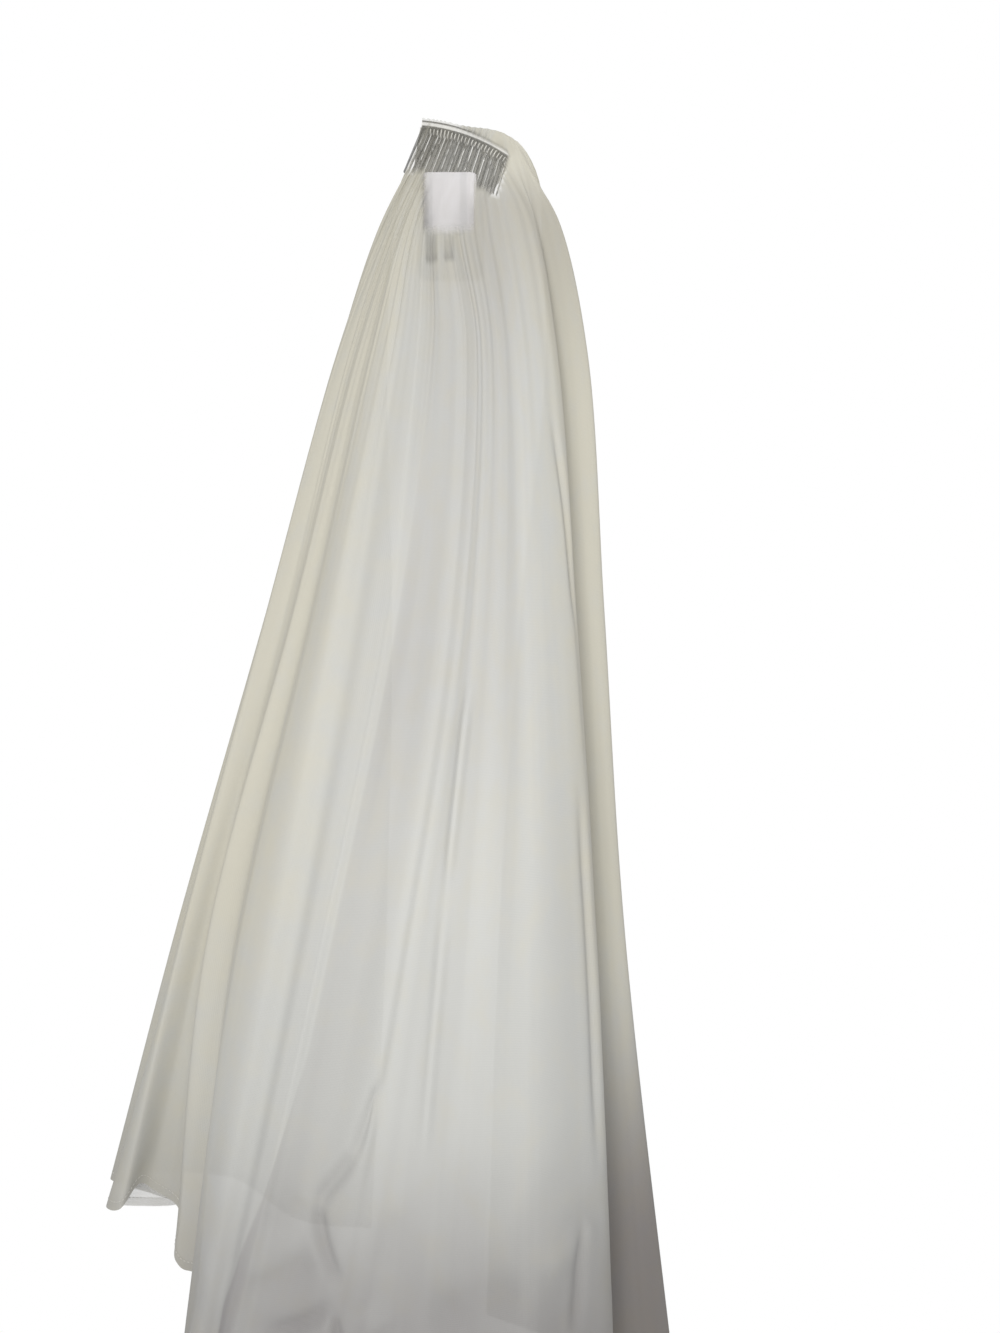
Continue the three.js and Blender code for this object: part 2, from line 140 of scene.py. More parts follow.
CREASES = (
    #           start         end           half  height  kind            bow
    CreaseLine((24, -470), (6, -640), 3.8, 4.4, Crease.RIDGE),
    CreaseLine((6, -640), (-12, -850), 4.5, 3.7, Crease.RIDGE),
    CreaseLine((-48, -790), (-70, -853), 5.2, 5.1, Crease.TROUGH),
    CreaseLine((-68, -848), (-100, -890), 6.0, 6.1, Crease.TROUGH),
    CreaseLine((-99, -888), (-79, -948), 6.0, 7.1, Crease.TROUGH, -5.0),
    CreaseLine((-101, -930), (-158, -958), 10.5, 4.1, Crease.TROUGH, 6.0),
    CreaseLine((-84, -964), (-140, -994), 6.0, 6.1, Crease.TROUGH, 4.0),
    CreaseLine((-84, -972), (-76, -1010), 4.5, 5.8, Crease.TROUGH),
    CreaseLine((-62, -962), (-46, -984), 13.7, 5.0, Crease.RIDGE),
    CreaseLine((-34, -890), (-46, -936), 9.0, 2.0, Crease.TROUGH),
    CreaseLine((70, -936), (-6, -970), 14.7, 3.6, Crease.TROUGH, 5.0),
    CreaseLine((128, -906), (84, -930), 12.6, 3.8, Crease.RIDGE),
    CreaseLine((117, -900), (110, -985), 4.5, 4.4, Crease.TROUGH),
    CreaseLine((-108, -888), (-138, -912), 12.6, 2.9, Crease.TROUGH),
    CreaseLine((-20, -1030), (70, -1060), 15.7, 4.1, Crease.TROUGH, -6.0),
    CreaseLine((-120, -1040), (-60, -1085), 13.7, 3.8, Crease.RIDGE, 5.0),
    CreaseLine((90, -1010), (40, -1050), 12.6, 3.4, Crease.RIDGE, 4.0),
    CreaseLine((98, -230), (117, -409), 3.0, 4.1, Crease.TROUGH, 3.0),
    CreaseLine((112, -330), (127, -540), 3.0, 4.4, Crease.TROUGH, 2.0),
    CreaseLine((121, -420), (134, -700), 3.0, 4.4, Crease.TROUGH, 2.0),
    CreaseLine((118, -560), (131, -860), 3.8, 4.1, Crease.TROUGH, 2.0),
)

BACK_CREASES = (
    #           start         end           half  height  kind            bow
    CreaseLine((-70, -110), (-152, -930), 8.0, 7.2, Crease.RIDGE, 6.0),
    CreaseLine((-84, -250), (-188, -905), 7.0, 6.4, Crease.TROUGH, 5.0),
    CreaseLine((-66, -330), (-112, -965), 9.0, 8.0, Crease.TROUGH, -4.0),
    CreaseLine((-62, -540), (-90, -1000), 7.0, 5.8, Crease.RIDGE, 3.0),
    CreaseLine((-128, -560), (-170, -800), 10.0, 6.4, Crease.TROUGH, -5.0),
    CreaseLine((-150, -850), (-196, -930), 9.0, 6.7, Crease.RIDGE, 4.0),
    CreaseLine((98, -130), (150, -1090), 8.0, 7.0, Crease.RIDGE, -5.0),
    CreaseLine((86, -300), (118, -1110), 9.0, 8.0, Crease.TROUGH, 4.0),
    CreaseLine((118, -470), (176, -1080), 8.0, 6.7, Crease.TROUGH, -4.0),
    CreaseLine((80, -620), (96, -1120), 7.0, 5.8, Crease.RIDGE, 3.0),
    CreaseLine((132, -760), (140, -1010), 10.0, 6.1, Crease.RIDGE, 5.0),
)


@dataclass(frozen=True)
class ThinPatch:
    """One place where the hook stretches the net: its ranges in x and z, its soft edge, in mm, and share."""

    across: Pair
    up: Pair
    soft: float
    share: float


THIN_PATCHES = (
    #          across          up              soft  share
    ThinPatch((-25.8, 24.5), (-19.0, 37.0), 1.2, 1.0),
    ThinPatch((-25.8, 24.5), (-23.0, 20.0), 4.0, 0.8),
    ThinPatch((-23.5, -11.5), (-52.0, -26.0), 1.4, 0.36),
    ThinPatch((-23.5, -11.5), (-52.0, -43.5), 1.4, 0.50),
    ThinPatch((-5.2, 5.0), (-51.0, -26.0), 1.4, 0.33),
    ThinPatch((-5.2, 5.0), (-51.0, -42.0), 1.4, 0.45),
)


def smooth_line(points: np.ndarray, at: np.ndarray) -> np.ndarray:
    """Run a centripetal Catmull-Rom line through points.

    Args:
        points: Places to pass through, as an array (..., count, 3).
        at: Where to read the line, in steps of one for each point.

    Returns:
        The places read, as an array (..., len(at), 3).
    """
    first = 2 * points[..., :1, :] - points[..., 1:2, :]
    last = 2 * points[..., -1:, :] - points[..., -2:-1, :]
    padded = np.concatenate([first, points, last], axis=-2)
    step = np.clip(np.floor(at).astype(int), 0, points.shape[-2] - 2)
    t = (at - step)[:, None]
    p0, p1, p2, p3 = (padded[..., step + k, :] for k in range(4))

    def pace(a: np.ndarray, b: np.ndarray) -> np.ndarray:
        """Give the centripetal length between two places."""
        return np.maximum(np.sqrt(np.linalg.norm(b - a, axis=-1, keepdims=True)), 1e-6)

    d0, d1, d2 = pace(p0, p1), pace(p1, p2), pace(p2, p3)
    leave = ((p1 - p0) / d0 - (p2 - p0) / (d0 + d1) + (p2 - p1) / d1) * d1
    arrive = ((p2 - p1) / d1 - (p3 - p1) / (d1 + d2) + (p3 - p2) / d2) * d1
    cubic = 2 * p1 - 2 * p2 + leave + arrive
    square = -3 * p1 + 3 * p2 - 2 * leave - arrive
    return ((cubic * t + square) * t + leave) * t + p1


def smoothstep(low: float, high: float, value: np.ndarray) -> np.ndarray:
    """Ease from 0 at low to 1 at high."""
    t = np.clip((value - low) / (high - low), 0.0, 1.0)
    return t * t * (3 - 2 * t)


def under(top: float, depth: float, height: np.ndarray) -> np.ndarray:
    """Ease from 0 at the top to 1 one depth under it."""
    return smoothstep(0.0, 1.0, (top - height) / depth)


def soft_box(value: np.ndarray, low: float, high: float, soft: float) -> np.ndarray:
    """Give 1 between low and high, easing to 0 over a soft edge on each side."""
    return Span((low - soft, low + soft), (high - soft, high + soft)).weigh(value)


def ripple(along: np.ndarray, aside: np.ndarray, length: float, sway: float, sway_long: float) -> np.ndarray:
    """Give waves along one way that sway with the other way.

    Args:
        along: The way that the waves run.
        aside: The other way.
        length: The waves' length over 2 pi.
        sway: How far the waves sway, in radians.
        sway_long: The length of the sway over 2 pi.

    Returns:
        The waves, from -1 to 1.
    """
    return np.sin(along / length + sway * np.sin(aside / sway_long))


@dataclass(frozen=True)
class Span:
    """A stretch of some value: where a weight rises from 0 to 1, and where it falls back."""

    rise: Pair
    fall: Pair

    def weigh(self, value: np.ndarray) -> np.ndarray:
        """Give the weight at each value."""
        return smoothstep(*self.rise, value) * (1 - smoothstep(*self.fall, value))


@dataclass(frozen=True)
class Wave:
    """A row of small gathers: how many there are, and how their spacing drifts."""

    count: int
    shift: float
    pace: float
    phase: float = 0.0

    def run(self, share: np.ndarray) -> np.ndarray:
        """Give the wave's height, from -1 to 1, at shares of the row's length."""
        return np.sin(2 * np.pi * self.count * (share + self.shift * np.sin(self.pace * share + self.phase)))


def sheet_mesh(name: str, grid: np.ndarray, flat: np.ndarray) -> bpy.types.Object:
    """Make one open sheet from a grid of points, facing the room.

    Args:
        name: The new object's name.
        grid: Places as an array (rows, columns, 3).
        flat: The same points in the flat cloth, as an array (rows, columns, 2), in metres.

    Returns:
        The new object, smooth shaded, with its flat cloth as UV map.
    """
    rows, columns = grid.shape[:2]
    corner = (np.arange(rows - 1)[:, None] * columns + np.arange(columns - 1)[None, :]).ravel()
    quads = np.stack([corner, corner + columns, corner + columns + 1, corner + 1], axis=1)
    mesh = bpy.data.meshes.new(name)
    mesh.from_pydata(grid.reshape(-1, 3).tolist(), [], quads.tolist())
    uv = mesh.uv_layers.new(name="Cloth")
    uv.data.foreach_set("uv", flat.reshape(-1, 2)[quads.ravel()].ravel())
    mesh.shade_smooth()
    piece = bpy.data.objects.new(name, mesh)
    bpy.context.scene.collection.objects.link(piece)
    return piece


def paint(piece: bpy.types.Object, cover: Numbers, warmth: Numbers, grey: Numbers) -> None:
    """Store three numbers at each point of a sheet, for its material to read.

    Args:
        piece: The sheet.
        cover: How densely the net covers: one number, a row of them, or one for each point.
        warmth: How creamy it looks, likewise.
        grey: How much painted shade darkens it, likewise.
    """
    count = len(piece.data.vertices)
    for name, values in (("cover", cover), ("warmth", warmth), ("grey", grey)):
        layer = piece.data.attributes.new(name, "FLOAT", "POINT")
        layer.data.foreach_set("value", np.resize(np.asarray(values, dtype=np.float32), count))


def coat(name: str, finish: bpy.types.Material) -> None:
    """Give a CAD object this material alone."""
    bpy.data.objects[name].data.materials.clear()
    bpy.data.objects[name].data.materials.append(finish)


class NodeSheet:
    """A material's node tree, with short calls for its nodes and links."""

    def __init__(self, name: str) -> None:
        """Start an empty material.

        Args:
            name: Its name.
        """
        self.material = bpy.data.materials.new(name)
        self.material.use_nodes = True
        self.tree = self.material.node_tree
        self.tree.nodes.clear()
        self.output = self.tree.nodes.new("ShaderNodeOutputMaterial")

    def add(self, kind: str, **settings: object) -> bpy.types.Node:
        """Add a node.

        Args:
            kind: The node's Blender type.
            settings: Its properties, by name.

        Returns:
            The new node.
        """
        node = self.tree.nodes.new(kind)
        for key, value in settings.items():
            setattr(node, key, value)
        return node

    def feed(self, socket: Socket, value: object) -> None:
        """Link an input to another socket, or set it.

        Args:
            socket: The input.
            value: A socket, a number, or a colour or place as a tuple of three.
        """
        if isinstance(value, Socket):
            self.tree.links.new(value, socket)
        elif isinstance(value, tuple):
            socket.default_value = (*value, 1.0)[: len(socket.default_value)]
        else:
            socket.default_value = value

    def fill(self, node: bpy.types.Node, **values: object) -> None:
        """Link or set some of a node's inputs.

        Args:
            node: The node.
            values: Sockets or plain values, by the inputs' names with underscores.
        """
        for key, value in values.items():
            self.feed(node.inputs[key.replace("_", " ")], value)

    def principled(self, **values: object) -> bpy.types.Node:
        """Add the surface shader and link it to the output.

        Args:
            values: Sockets or plain values for the shader's inputs, as in fill().

        Returns:
            The shader.
        """
        shader = self.add("ShaderNodeBsdfPrincipled")
        self.fill(shader, **values)
        self.feed(self.output.inputs["Surface"], shader.outputs["BSDF"])
        return shader

    def calculate(self, node: bpy.types.Node, values: tuple[object, ...]) -> Socket:
        """Feed a node's inputs in their order.

        Args:
            node: The node.
            values: Sockets or plain values.

        Returns:
            The node's first output.
        """
        for socket, value in zip(node.inputs, values):
            self.feed(socket, value)
        return node.outputs[0]

    def math(self, operation: str, *values: object, clamp: bool = False) -> Socket:
        """Work out a number.

        Args:
            operation: What to work out, by Blender's name.
            values: Sockets or numbers, in the order of the node's inputs.
            clamp: Whether to keep the result between 0 and 1.

        Returns:
            The result.
        """
        return self.calculate(self.add("ShaderNodeMath", operation=operation, use_clamp=clamp), values)

    def vector(self, operation: str, *values: object) -> Socket:
        """Work out a vector from sockets or tuples, as math() does for numbers."""
        return self.calculate(self.add("ShaderNodeVectorMath", operation=operation), values)

    def split(self, vector: Socket) -> bpy.types.NodeOutputs:
        """Take a vector apart.

        Args:
            vector: The vector.

        Returns:
            Its parts, by the names X, Y and Z.
        """
        node = self.add("ShaderNodeSeparateXYZ")
        self.feed(node.inputs[0], vector)
        return node.outputs

    def ramp(self, value: Socket, low: float, high: float) -> Socket:
        """Ease a value from 0 at low to 1 at high.

        Args:
            value: The value.
            low: Where the ramp starts.
            high: Where it ends, which may lie under low.

        Returns:
            The eased value.
        """
        node = self.add("ShaderNodeMapRange", interpolation_type="SMOOTHSTEP")
        self.fill(node, From_Min=low, From_Max=high, Value=value)
        return node.outputs["Result"]

    def band(self, value: Socket, ends: tuple[float, float], soft: float) -> Socket:
        """Give 1 between two ends, easing to 0 over a soft edge on each side."""
        rise = self.ramp(value, ends[0] - soft, ends[0] + soft)
        return self.math("MULTIPLY", rise, self.ramp(value, ends[1] + soft, ends[1] - soft))

    def attribute(self, name: str) -> Socket:
        """Give the number stored at each point under this name."""
        return self.add("ShaderNodeAttribute", attribute_name=name).outputs["Fac"]

    def place(self) -> Socket:
        """Give the place on the object, in metres."""
        return self.add("ShaderNodeTexCoord").outputs["Object"]

    def mix(self, share: object, below: object, above: object, kind: str = "MIX") -> Socket:
        """Lay one colour over another.

        Args:
            share: How much of the upper colour shows, as a socket or a number.
            below: The lower colour, as a socket or a tuple of three.
            above: The upper colour, likewise.
            kind: How the two are mixed, by Blender's name.

        Returns:
            The mixed colour.
        """
        node = self.add("ShaderNodeMix", data_type="RGBA", blend_type=kind)
        for slot, value in ((0, share), (6, below), (7, above)):
            self.feed(node.inputs[slot], value)
        return node.outputs[2]

    def noise(self, place: Socket, scale: float, detail: float = 2.0, flat: bool = False) -> Socket:
        """Add a noise pattern.

        Args:
            place: Where to read it.
            scale: How fine it is.
            detail: How many finer layers lie on it.
            flat: Whether the place is one in a plane.

        Returns:
            The noise, from 0 to 1.
        """
        node = self.add("ShaderNodeTexNoise", noise_dimensions="2D" if flat else "3D")
        self.fill(node, Vector=place, Scale=scale, Detail=detail)
        return node.outputs["Fac"]

    def bump(self, shader: bpy.types.Node, height: Socket, strength: float, distance: float) -> None:
        """Raise a fine pattern on a surface.

        Args:
            shader: The surface shader.
            height: The pattern.
            strength: How much of it shows.
            distance: How high it stands, in metres.
        """
        node = self.add("ShaderNodeBump")
        self.fill(node, Height=height, Strength=strength, Distance=distance)
        self.feed(shader.inputs["Normal"], node.outputs["Normal"])


@dataclass(frozen=True)
class TulleFinish:
    """Sheer ivory net: a fine irregular mesh of threads, cooler in the middle and creamier at the sides,
    darkened by painted shade in fine streaks and wherever its piece carries painted shade.
    """

    name: str = "ivory_tulle"
    cool: Colour = (0.47, 0.47, 0.45)
    cream: Colour = (0.49, 0.47, 0.40)
    # The tint that painted shade draws the colour towards.
    shade_tint: Colour = (0.05, 0.0, 0.03)
    net_pitch: float = 1.3 * MM
    net_unevenness: float = 0.35
    net_height: float = 0.15 * MM
    thread_share: float = 0.22
    thread_cover: float = 0.16
    hole_cover: float = -0.072
    cloud_scale: float = 34.0
    cloud_cover: float = 0.10
    extra_cover: float = 0.0
    # Fine streaks of painted shade down the cloth.
    streaks: tuple[float, float, float] = (38.0, 1.7, 1.0)
    streak_edges: Pair = (0.36, 0.66)
    streak_grey: float = 0.028
    roughness: float = 0.82
    sheen: float = 0.12

    def build(self) -> bpy.types.Material:
        """Build the material, which reads the attributes 'cover', 'warmth' and 'grey' of its piece; the
        painted shade darkens its colour.

        Returns:
            The finished material.
        """
        sheet = NodeSheet(self.name)
        shader = sheet.principled(Roughness=self.roughness, Sheen_Weight=self.sheen, Specular_IOR_Level=0.2)
        flat = sheet.add("ShaderNodeUVMap", uv_map="Cloth").outputs[0]
        net = sheet.add("ShaderNodeTexVoronoi", feature="DISTANCE_TO_EDGE", voronoi_dimensions="2D")
        sheet.fill(net, Vector=flat, Scale=1.0 / self.net_pitch, Randomness=self.net_unevenness)
        thread = sheet.math("LESS_THAN", net.outputs["Distance"], self.thread_share)
        thread = sheet.math("MULTIPLY_ADD", thread, self.thread_cover, self.hole_cover)
        cloud = sheet.noise(flat, self.cloud_scale, detail=3.0, flat=True)
        cover = sheet.math("MULTIPLY_ADD", cloud, self.cloud_cover, self.extra_cover - self.cloud_cover / 2)
        cover = sheet.math("ADD", sheet.attribute("cover"), cover)
        sheet.fill(shader, Alpha=sheet.math("ADD", cover, thread, clamp=True))
        warm = sheet.math("ADD", sheet.attribute("warmth"), sheet.math("SUBTRACT", cloud, 0.5), clamp=True)
        # Fine streaks of painted shade, added to the painted shade that the piece carries.
        streak = sheet.noise(sheet.vector("MULTIPLY", flat, self.streaks), 1.0, flat=True)
        streak = sheet.math("MULTIPLY", sheet.ramp(streak, *self.streak_edges), self.streak_grey)
        grey = sheet.math("ADD", sheet.attribute("grey"), streak, clamp=True)
        tint = sheet.mix(warm, self.cool, self.cream)
        # Darken the colour towards the shade tint by the painted shade.
        tint = sheet.mix(1.0, tint, sheet.mix(grey, (1.0, 1.0, 1.0), self.shade_tint), "MULTIPLY")
        sheet.fill(shader, Base_Color=tint)
        sheet.bump(shader, net.outputs["Distance"], strength=0.25, distance=self.net_height)
        return sheet.material


@dataclass(frozen=True)
class ClearPlasticFinish:
    """Clear glossy comb plastic with painted darkness, standing in for the dim room seen through and
    reflected in it, a painted highlight along the spine and painted highlights down the teeth.
    """

    comb: "HairComb"
    name: str = "clear_comb_plastic"
    # Painted colours: a darkness standing in for the dim room seen through and reflected in the clear
    # plastic, and the colour of the painted highlights.
    painted_dark: Colour = (0.072, 0.070, 0.066)
    light: Colour = (0.95, 0.94, 0.92)
    roughness: float = 0.13
    spine_highlight_band: Pair = (2.2 * MM, 5.5 * MM)
    spine_highlight_soft: float = 0.6 * MM
    tooth_highlight_shift: float = 0.55
    tooth_highlight_edges: Pair = (0.24, 0.08)
    tooth_highlight_top: Pair = (-2.0 * MM, -9.0 * MM)
    every_other: float = 0.6
    by_chance: float = 0.45
    cloud_scale: float = 110.0
    cloud_edges: Pair = (0.32, 0.52)
    clear_cover: float = 0.7

    def build(self) -> bpy.types.Material:
        """Build the material from the place over the comb's arc.

        Returns:
            The finished material.
        """
        sheet, comb = NodeSheet(self.name), self.comb
        shader = sheet.principled(Roughness=self.roughness, IOR=1.49, Coat_Weight=0.6, Coat_Roughness=0.06)
        place = sheet.place()
        turn = sheet.add("ShaderNodeVectorRotate", rotation_type="Y_AXIS")
        sheet.fill(turn, Vector=sheet.vector("SUBTRACT", place, comb.arc_centre), Angle=-comb.tilt)
        parts = sheet.split(turn.outputs[0])
        squares = [sheet.math("POWER", parts[axis], 2.0) for axis in ("X", "Z")]
        lift = sheet.math("SUBTRACT", sheet.math("SQRT", sheet.math("ADD", *squares)), comb.radius)
        # A painted highlight band along the spine.
        spine_highlight = sheet.band(lift, self.spine_highlight_band, self.spine_highlight_soft)
        below = sheet.math("MAXIMUM", sheet.math("MULTIPLY", lift, -1.0), 0.0)
        spread = sheet.math("MULTIPLY_ADD", below, comb.tooth_spread, 1.0)
        root = sheet.math("DIVIDE", sheet.math("DIVIDE", parts["X"], spread), comb.radius)
        share = sheet.math("DIVIDE", sheet.math("ARCSINE", root), 2 * comb.half_angle)
        along = sheet.math("DIVIDE", sheet.math("ADD", share, 0.5 - comb.end_inset), 1 - 2 * comb.end_inset)
        # Painted highlights down the teeth, brighter on every other tooth and at random, then broken up by a
        # noise.
        count = sheet.math("MULTIPLY_ADD", along, comb.tooth_steps, self.tooth_highlight_shift)
        middle = sheet.math("ABSOLUTE", sheet.math("SUBTRACT", sheet.math("FRACT", count), 0.5))
        tooth = sheet.math("FLOOR", count)
        chance = sheet.add("ShaderNodeTexWhiteNoise", noise_dimensions="1D")
        sheet.fill(chance, W=tooth)
        tooth_highlight_strength = sheet.math("MULTIPLY", sheet.math("PINGPONG", tooth, 1.0), self.every_other)
        tooth_highlight_strength = sheet.math("MULTIPLY_ADD", chance.outputs["Value"], self.by_chance, tooth_highlight_strength, clamp=True)
        tooth_highlight = sheet.math("MULTIPLY", sheet.ramp(middle, *self.tooth_highlight_edges), tooth_highlight_strength)
        tooth_highlight = sheet.math("MULTIPLY", tooth_highlight, sheet.ramp(lift, *self.tooth_highlight_top))
        cloud = sheet.noise(place, self.cloud_scale, detail=3.0)
        pale = sheet.math("MULTIPLY", tooth_highlight, sheet.ramp(cloud, *self.cloud_edges))
        # Painted darkness under the painted highlights, with the spine highlight on top; the plastic is drawn
        # more opaque where the highlights are.
        body = sheet.mix(pale, self.painted_dark, self.light)
        shown = sheet.math("ADD", pale, spine_highlight, clamp=True)
        cover = sheet.math("MULTIPLY_ADD", shown, 1 - self.clear_cover, self.clear_cover)
        sheet.fill(shader, Base_Color=sheet.mix(spine_highlight, body, self.light), Alpha=cover)
        sheet.bump(shader, cloud, strength=0.3, distance=0.2 * MM)
        return sheet.material


@dataclass(frozen=True)
class MouldedPlasticFinish:
    """White moulded plastic with a faint orange peel and patchy dust, with painted shade on its side bevels
    and in the recess under its lip.
    """

    name: str = "white_hook_plastic"
    clean: Colour = (0.80, 0.78, 0.81)
    dusty: Colour = (0.84, 0.815, 0.84)
    # Painted shade for the side bevels and for the recess under the lip.
    bevel_shade: Colour = (0.74, 0.725, 0.75)
    hollow: Colour = (0.30, 0.29, 0.27)
    face_middle: float = -3.0 * MM
    bevel_shade_band: Pair = (13.5 * MM, 20.5 * MM)
    bevel_shade_soft: float = 1.0 * MM
    hollow_top: Pair = (-22.0 * MM, -29.0 * MM)
    dust_scale: float = 30.0
    peel_scale: float = 900.0
    roughness: float = 0.32

    def build(self) -> bpy.types.Material:
        """Build the material from the place on the hook.

        Returns:
            The finished material.
        """
        sheet = NodeSheet(self.name)
        shader = sheet.principled(Roughness=self.roughness, IOR=1.46)
        place = sheet.place()
        parts = sheet.split(place)
        aside = sheet.math("ABSOLUTE", sheet.math("SUBTRACT", parts["X"], self.face_middle))
        face = sheet.mix(sheet.noise(place, self.dust_scale, detail=5.0), self.clean, self.dusty)
        # Painted shade on the side bevels.
        face = sheet.mix(sheet.band(aside, self.bevel_shade_band, self.bevel_shade_soft), face, self.bevel_shade)
        # Painted shade on the hook's lower part, in the recess under the lip.
        hollow = sheet.ramp(parts["Z"], *self.hollow_top)
        sheet.fill(shader, Base_Color=sheet.mix(hollow, face, self.hollow))
        sheet.bump(shader, sheet.noise(place, self.peel_scale), strength=0.12, distance=0.1 * MM)
        return sheet.material


@dataclass(frozen=True)
class ThreadFinish:
    """Soft white sewing thread with a twist along it."""

    name: str = "ivory_thread"
    colour: Colour = (0.84, 0.83, 0.79)
    shade: Colour = (0.62, 0.60, 0.55)
    twist_scale: float = 1600.0

    def build(self) -> bpy.types.Material:
        """Build the material.

        Returns:
            The finished material.
        """
        sheet = NodeSheet(self.name)
        shader = sheet.principled(Roughness=0.55, Sheen_Weight=0.25)
        twist = sheet.noise(sheet.place(), self.twist_scale)
        sheet.fill(shader, Base_Color=sheet.mix(twist, self.shade, self.colour))
        return sheet.material


class RepeatAlong:
    """A Geometry Nodes tree that repeats a small thread loop or stitch along a line."""

    ring_steps = 10
    thread_sides = 5

    def __init__(self, name: str, finish: bpy.types.Material) -> None:
        """Build the tree with its named inputs.

        Args:
            name: The tree's name.
            finish: The material that every repeat gets.
        """
        self.tree = bpy.data.node_groups.new(name, "GeometryNodeTree")
        face = self.tree.interface
        face.new_socket("Line", in_out="INPUT", socket_type="NodeSocketGeometry")
        for label, start in (("Count", 20), ("Seed", 7)):
            face.new_socket(label, in_out="INPUT", socket_type="NodeSocketInt").default_value = start
        for label in ("Half long", "Half deep", "Turn", "Thread radius", "Unevenness"):
            face.new_socket(label, in_out="INPUT", socket_type="NodeSocketFloat")
        face.new_socket("Pieces", in_out="OUTPUT", socket_type="NodeSocketGeometry")
        new = self.tree.nodes.new
        given, result = new("NodeGroupInput"), new("NodeGroupOutput")
        to_curve, spread = new("GeometryNodeMeshToCurve"), new("GeometryNodeResampleCurve")
        ring, section = new("GeometryNodeCurvePrimitiveCircle"), new("GeometryNodeCurvePrimitiveCircle")
        ring.inputs["Resolution"].default_value = self.ring_steps
        ring.inputs["Radius"].default_value = 1.0
        section.inputs["Resolution"].default_value = self.thread_sides
        flatten, loop = new("GeometryNodeTransform"), new("GeometryNodeCurveToMesh")
        size, twist = new("ShaderNodeCombineXYZ"), new("ShaderNodeCombineXYZ")
        size.inputs["Z"].default_value = 1.0
        place, tangent = new("GeometryNodeInstanceOnPoints"), new("GeometryNodeInputTangent")
        turn, wobble = new("FunctionNodeAlignRotationToVector"), new("FunctionNodeRandomValue")
        turn.axis = "X"
        wobble.data_type = "FLOAT_VECTOR"
        low, high = new("ShaderNodeVectorMath"), new("ShaderNodeVectorMath")
        low.operation = high.operation = "MULTIPLY_ADD"
        for node, sign in ((low, -1.0), (high, 1.0)):
            node.inputs[1].default_value = (sign, sign, sign)
            node.inputs[2].default_value = (1.0, 1.0, 1.0)
        real, dress = new("GeometryNodeRealizeInstances"), new("GeometryNodeSetMaterial")
        dress.inputs["Material"].default_value = finish
        wires = (
            (given, "Line", to_curve, "Mesh"),
            (to_curve, "Curve", spread, "Curve"),
            (given, "Count", spread, "Count"),
            (given, "Half long", size, "X"),
            (given, "Half deep", size, "Y"),
            (given, "Turn", twist, "Y"),
            (ring, "Curve", flatten, "Geometry"),
            (size, "Vector", flatten, "Scale"),
            (twist, "Vector", flatten, "Rotation"),
            (given, "Thread radius", section, "Radius"),
            (flatten, "Geometry", loop, "Curve"),
            (section, "Curve", loop, "Profile Curve"),
            (tangent, "Tangent", turn, "Vector"),
            (given, "Unevenness", low, 0),
            (given, "Unevenness", high, 0),
            (low, "Vector", wobble, "Min"),
            (high, "Vector", wobble, "Max"),
            (given, "Seed", wobble, "Seed"),
            (spread, "Curve", place, "Points"),
            (loop, "Mesh", place, "Instance"),
            (turn, "Rotation", place, "Rotation"),
            (wobble, "Value", place, "Scale"),
            (place, "Instances", real, "Geometry"),
            (real, "Geometry", dress, "Geometry"),
            (dress, "Geometry", result, "Pieces"),
        )
        for source, out, target, into in wires:
            self.tree.links.new(source.outputs[out], target.inputs[into])

    def run(self, name: str, line: np.ndarray, **sizes: float) -> bpy.types.Object:
        """Repeat the loop along a line and keep the result as a plain mesh.

        Args:
            name: The finished piece's name.
            line: Places along the line, as an array (count, 3).
            sizes: The tree's inputs, by their names with underscores.

        Returns:
            The finished piece, with no modifier left on it.
        """
        mesh = bpy.data.meshes.new(name)
        mesh.from_pydata(line.tolist(), [(k, k + 1) for k in range(len(line) - 1)], [])
        piece = bpy.data.objects.new(name, mesh)
        bpy.context.scene.collection.objects.link(piece)
        modifier = piece.modifiers.new("Repeat", "NODES")
        modifier.node_group = self.tree
        for item in self.tree.interface.items_tree:
            key = item.name.replace(" ", "_")
            if item.in_out == "INPUT" and key in sizes:
                modifier[item.identifier] = sizes[key]
        evaluated = piece.evaluated_get(bpy.context.evaluated_depsgraph_get())
        result = bpy.data.meshes.new_from_object(evaluated)
        piece.modifiers.remove(modifier)
        piece.data = result
        return piece


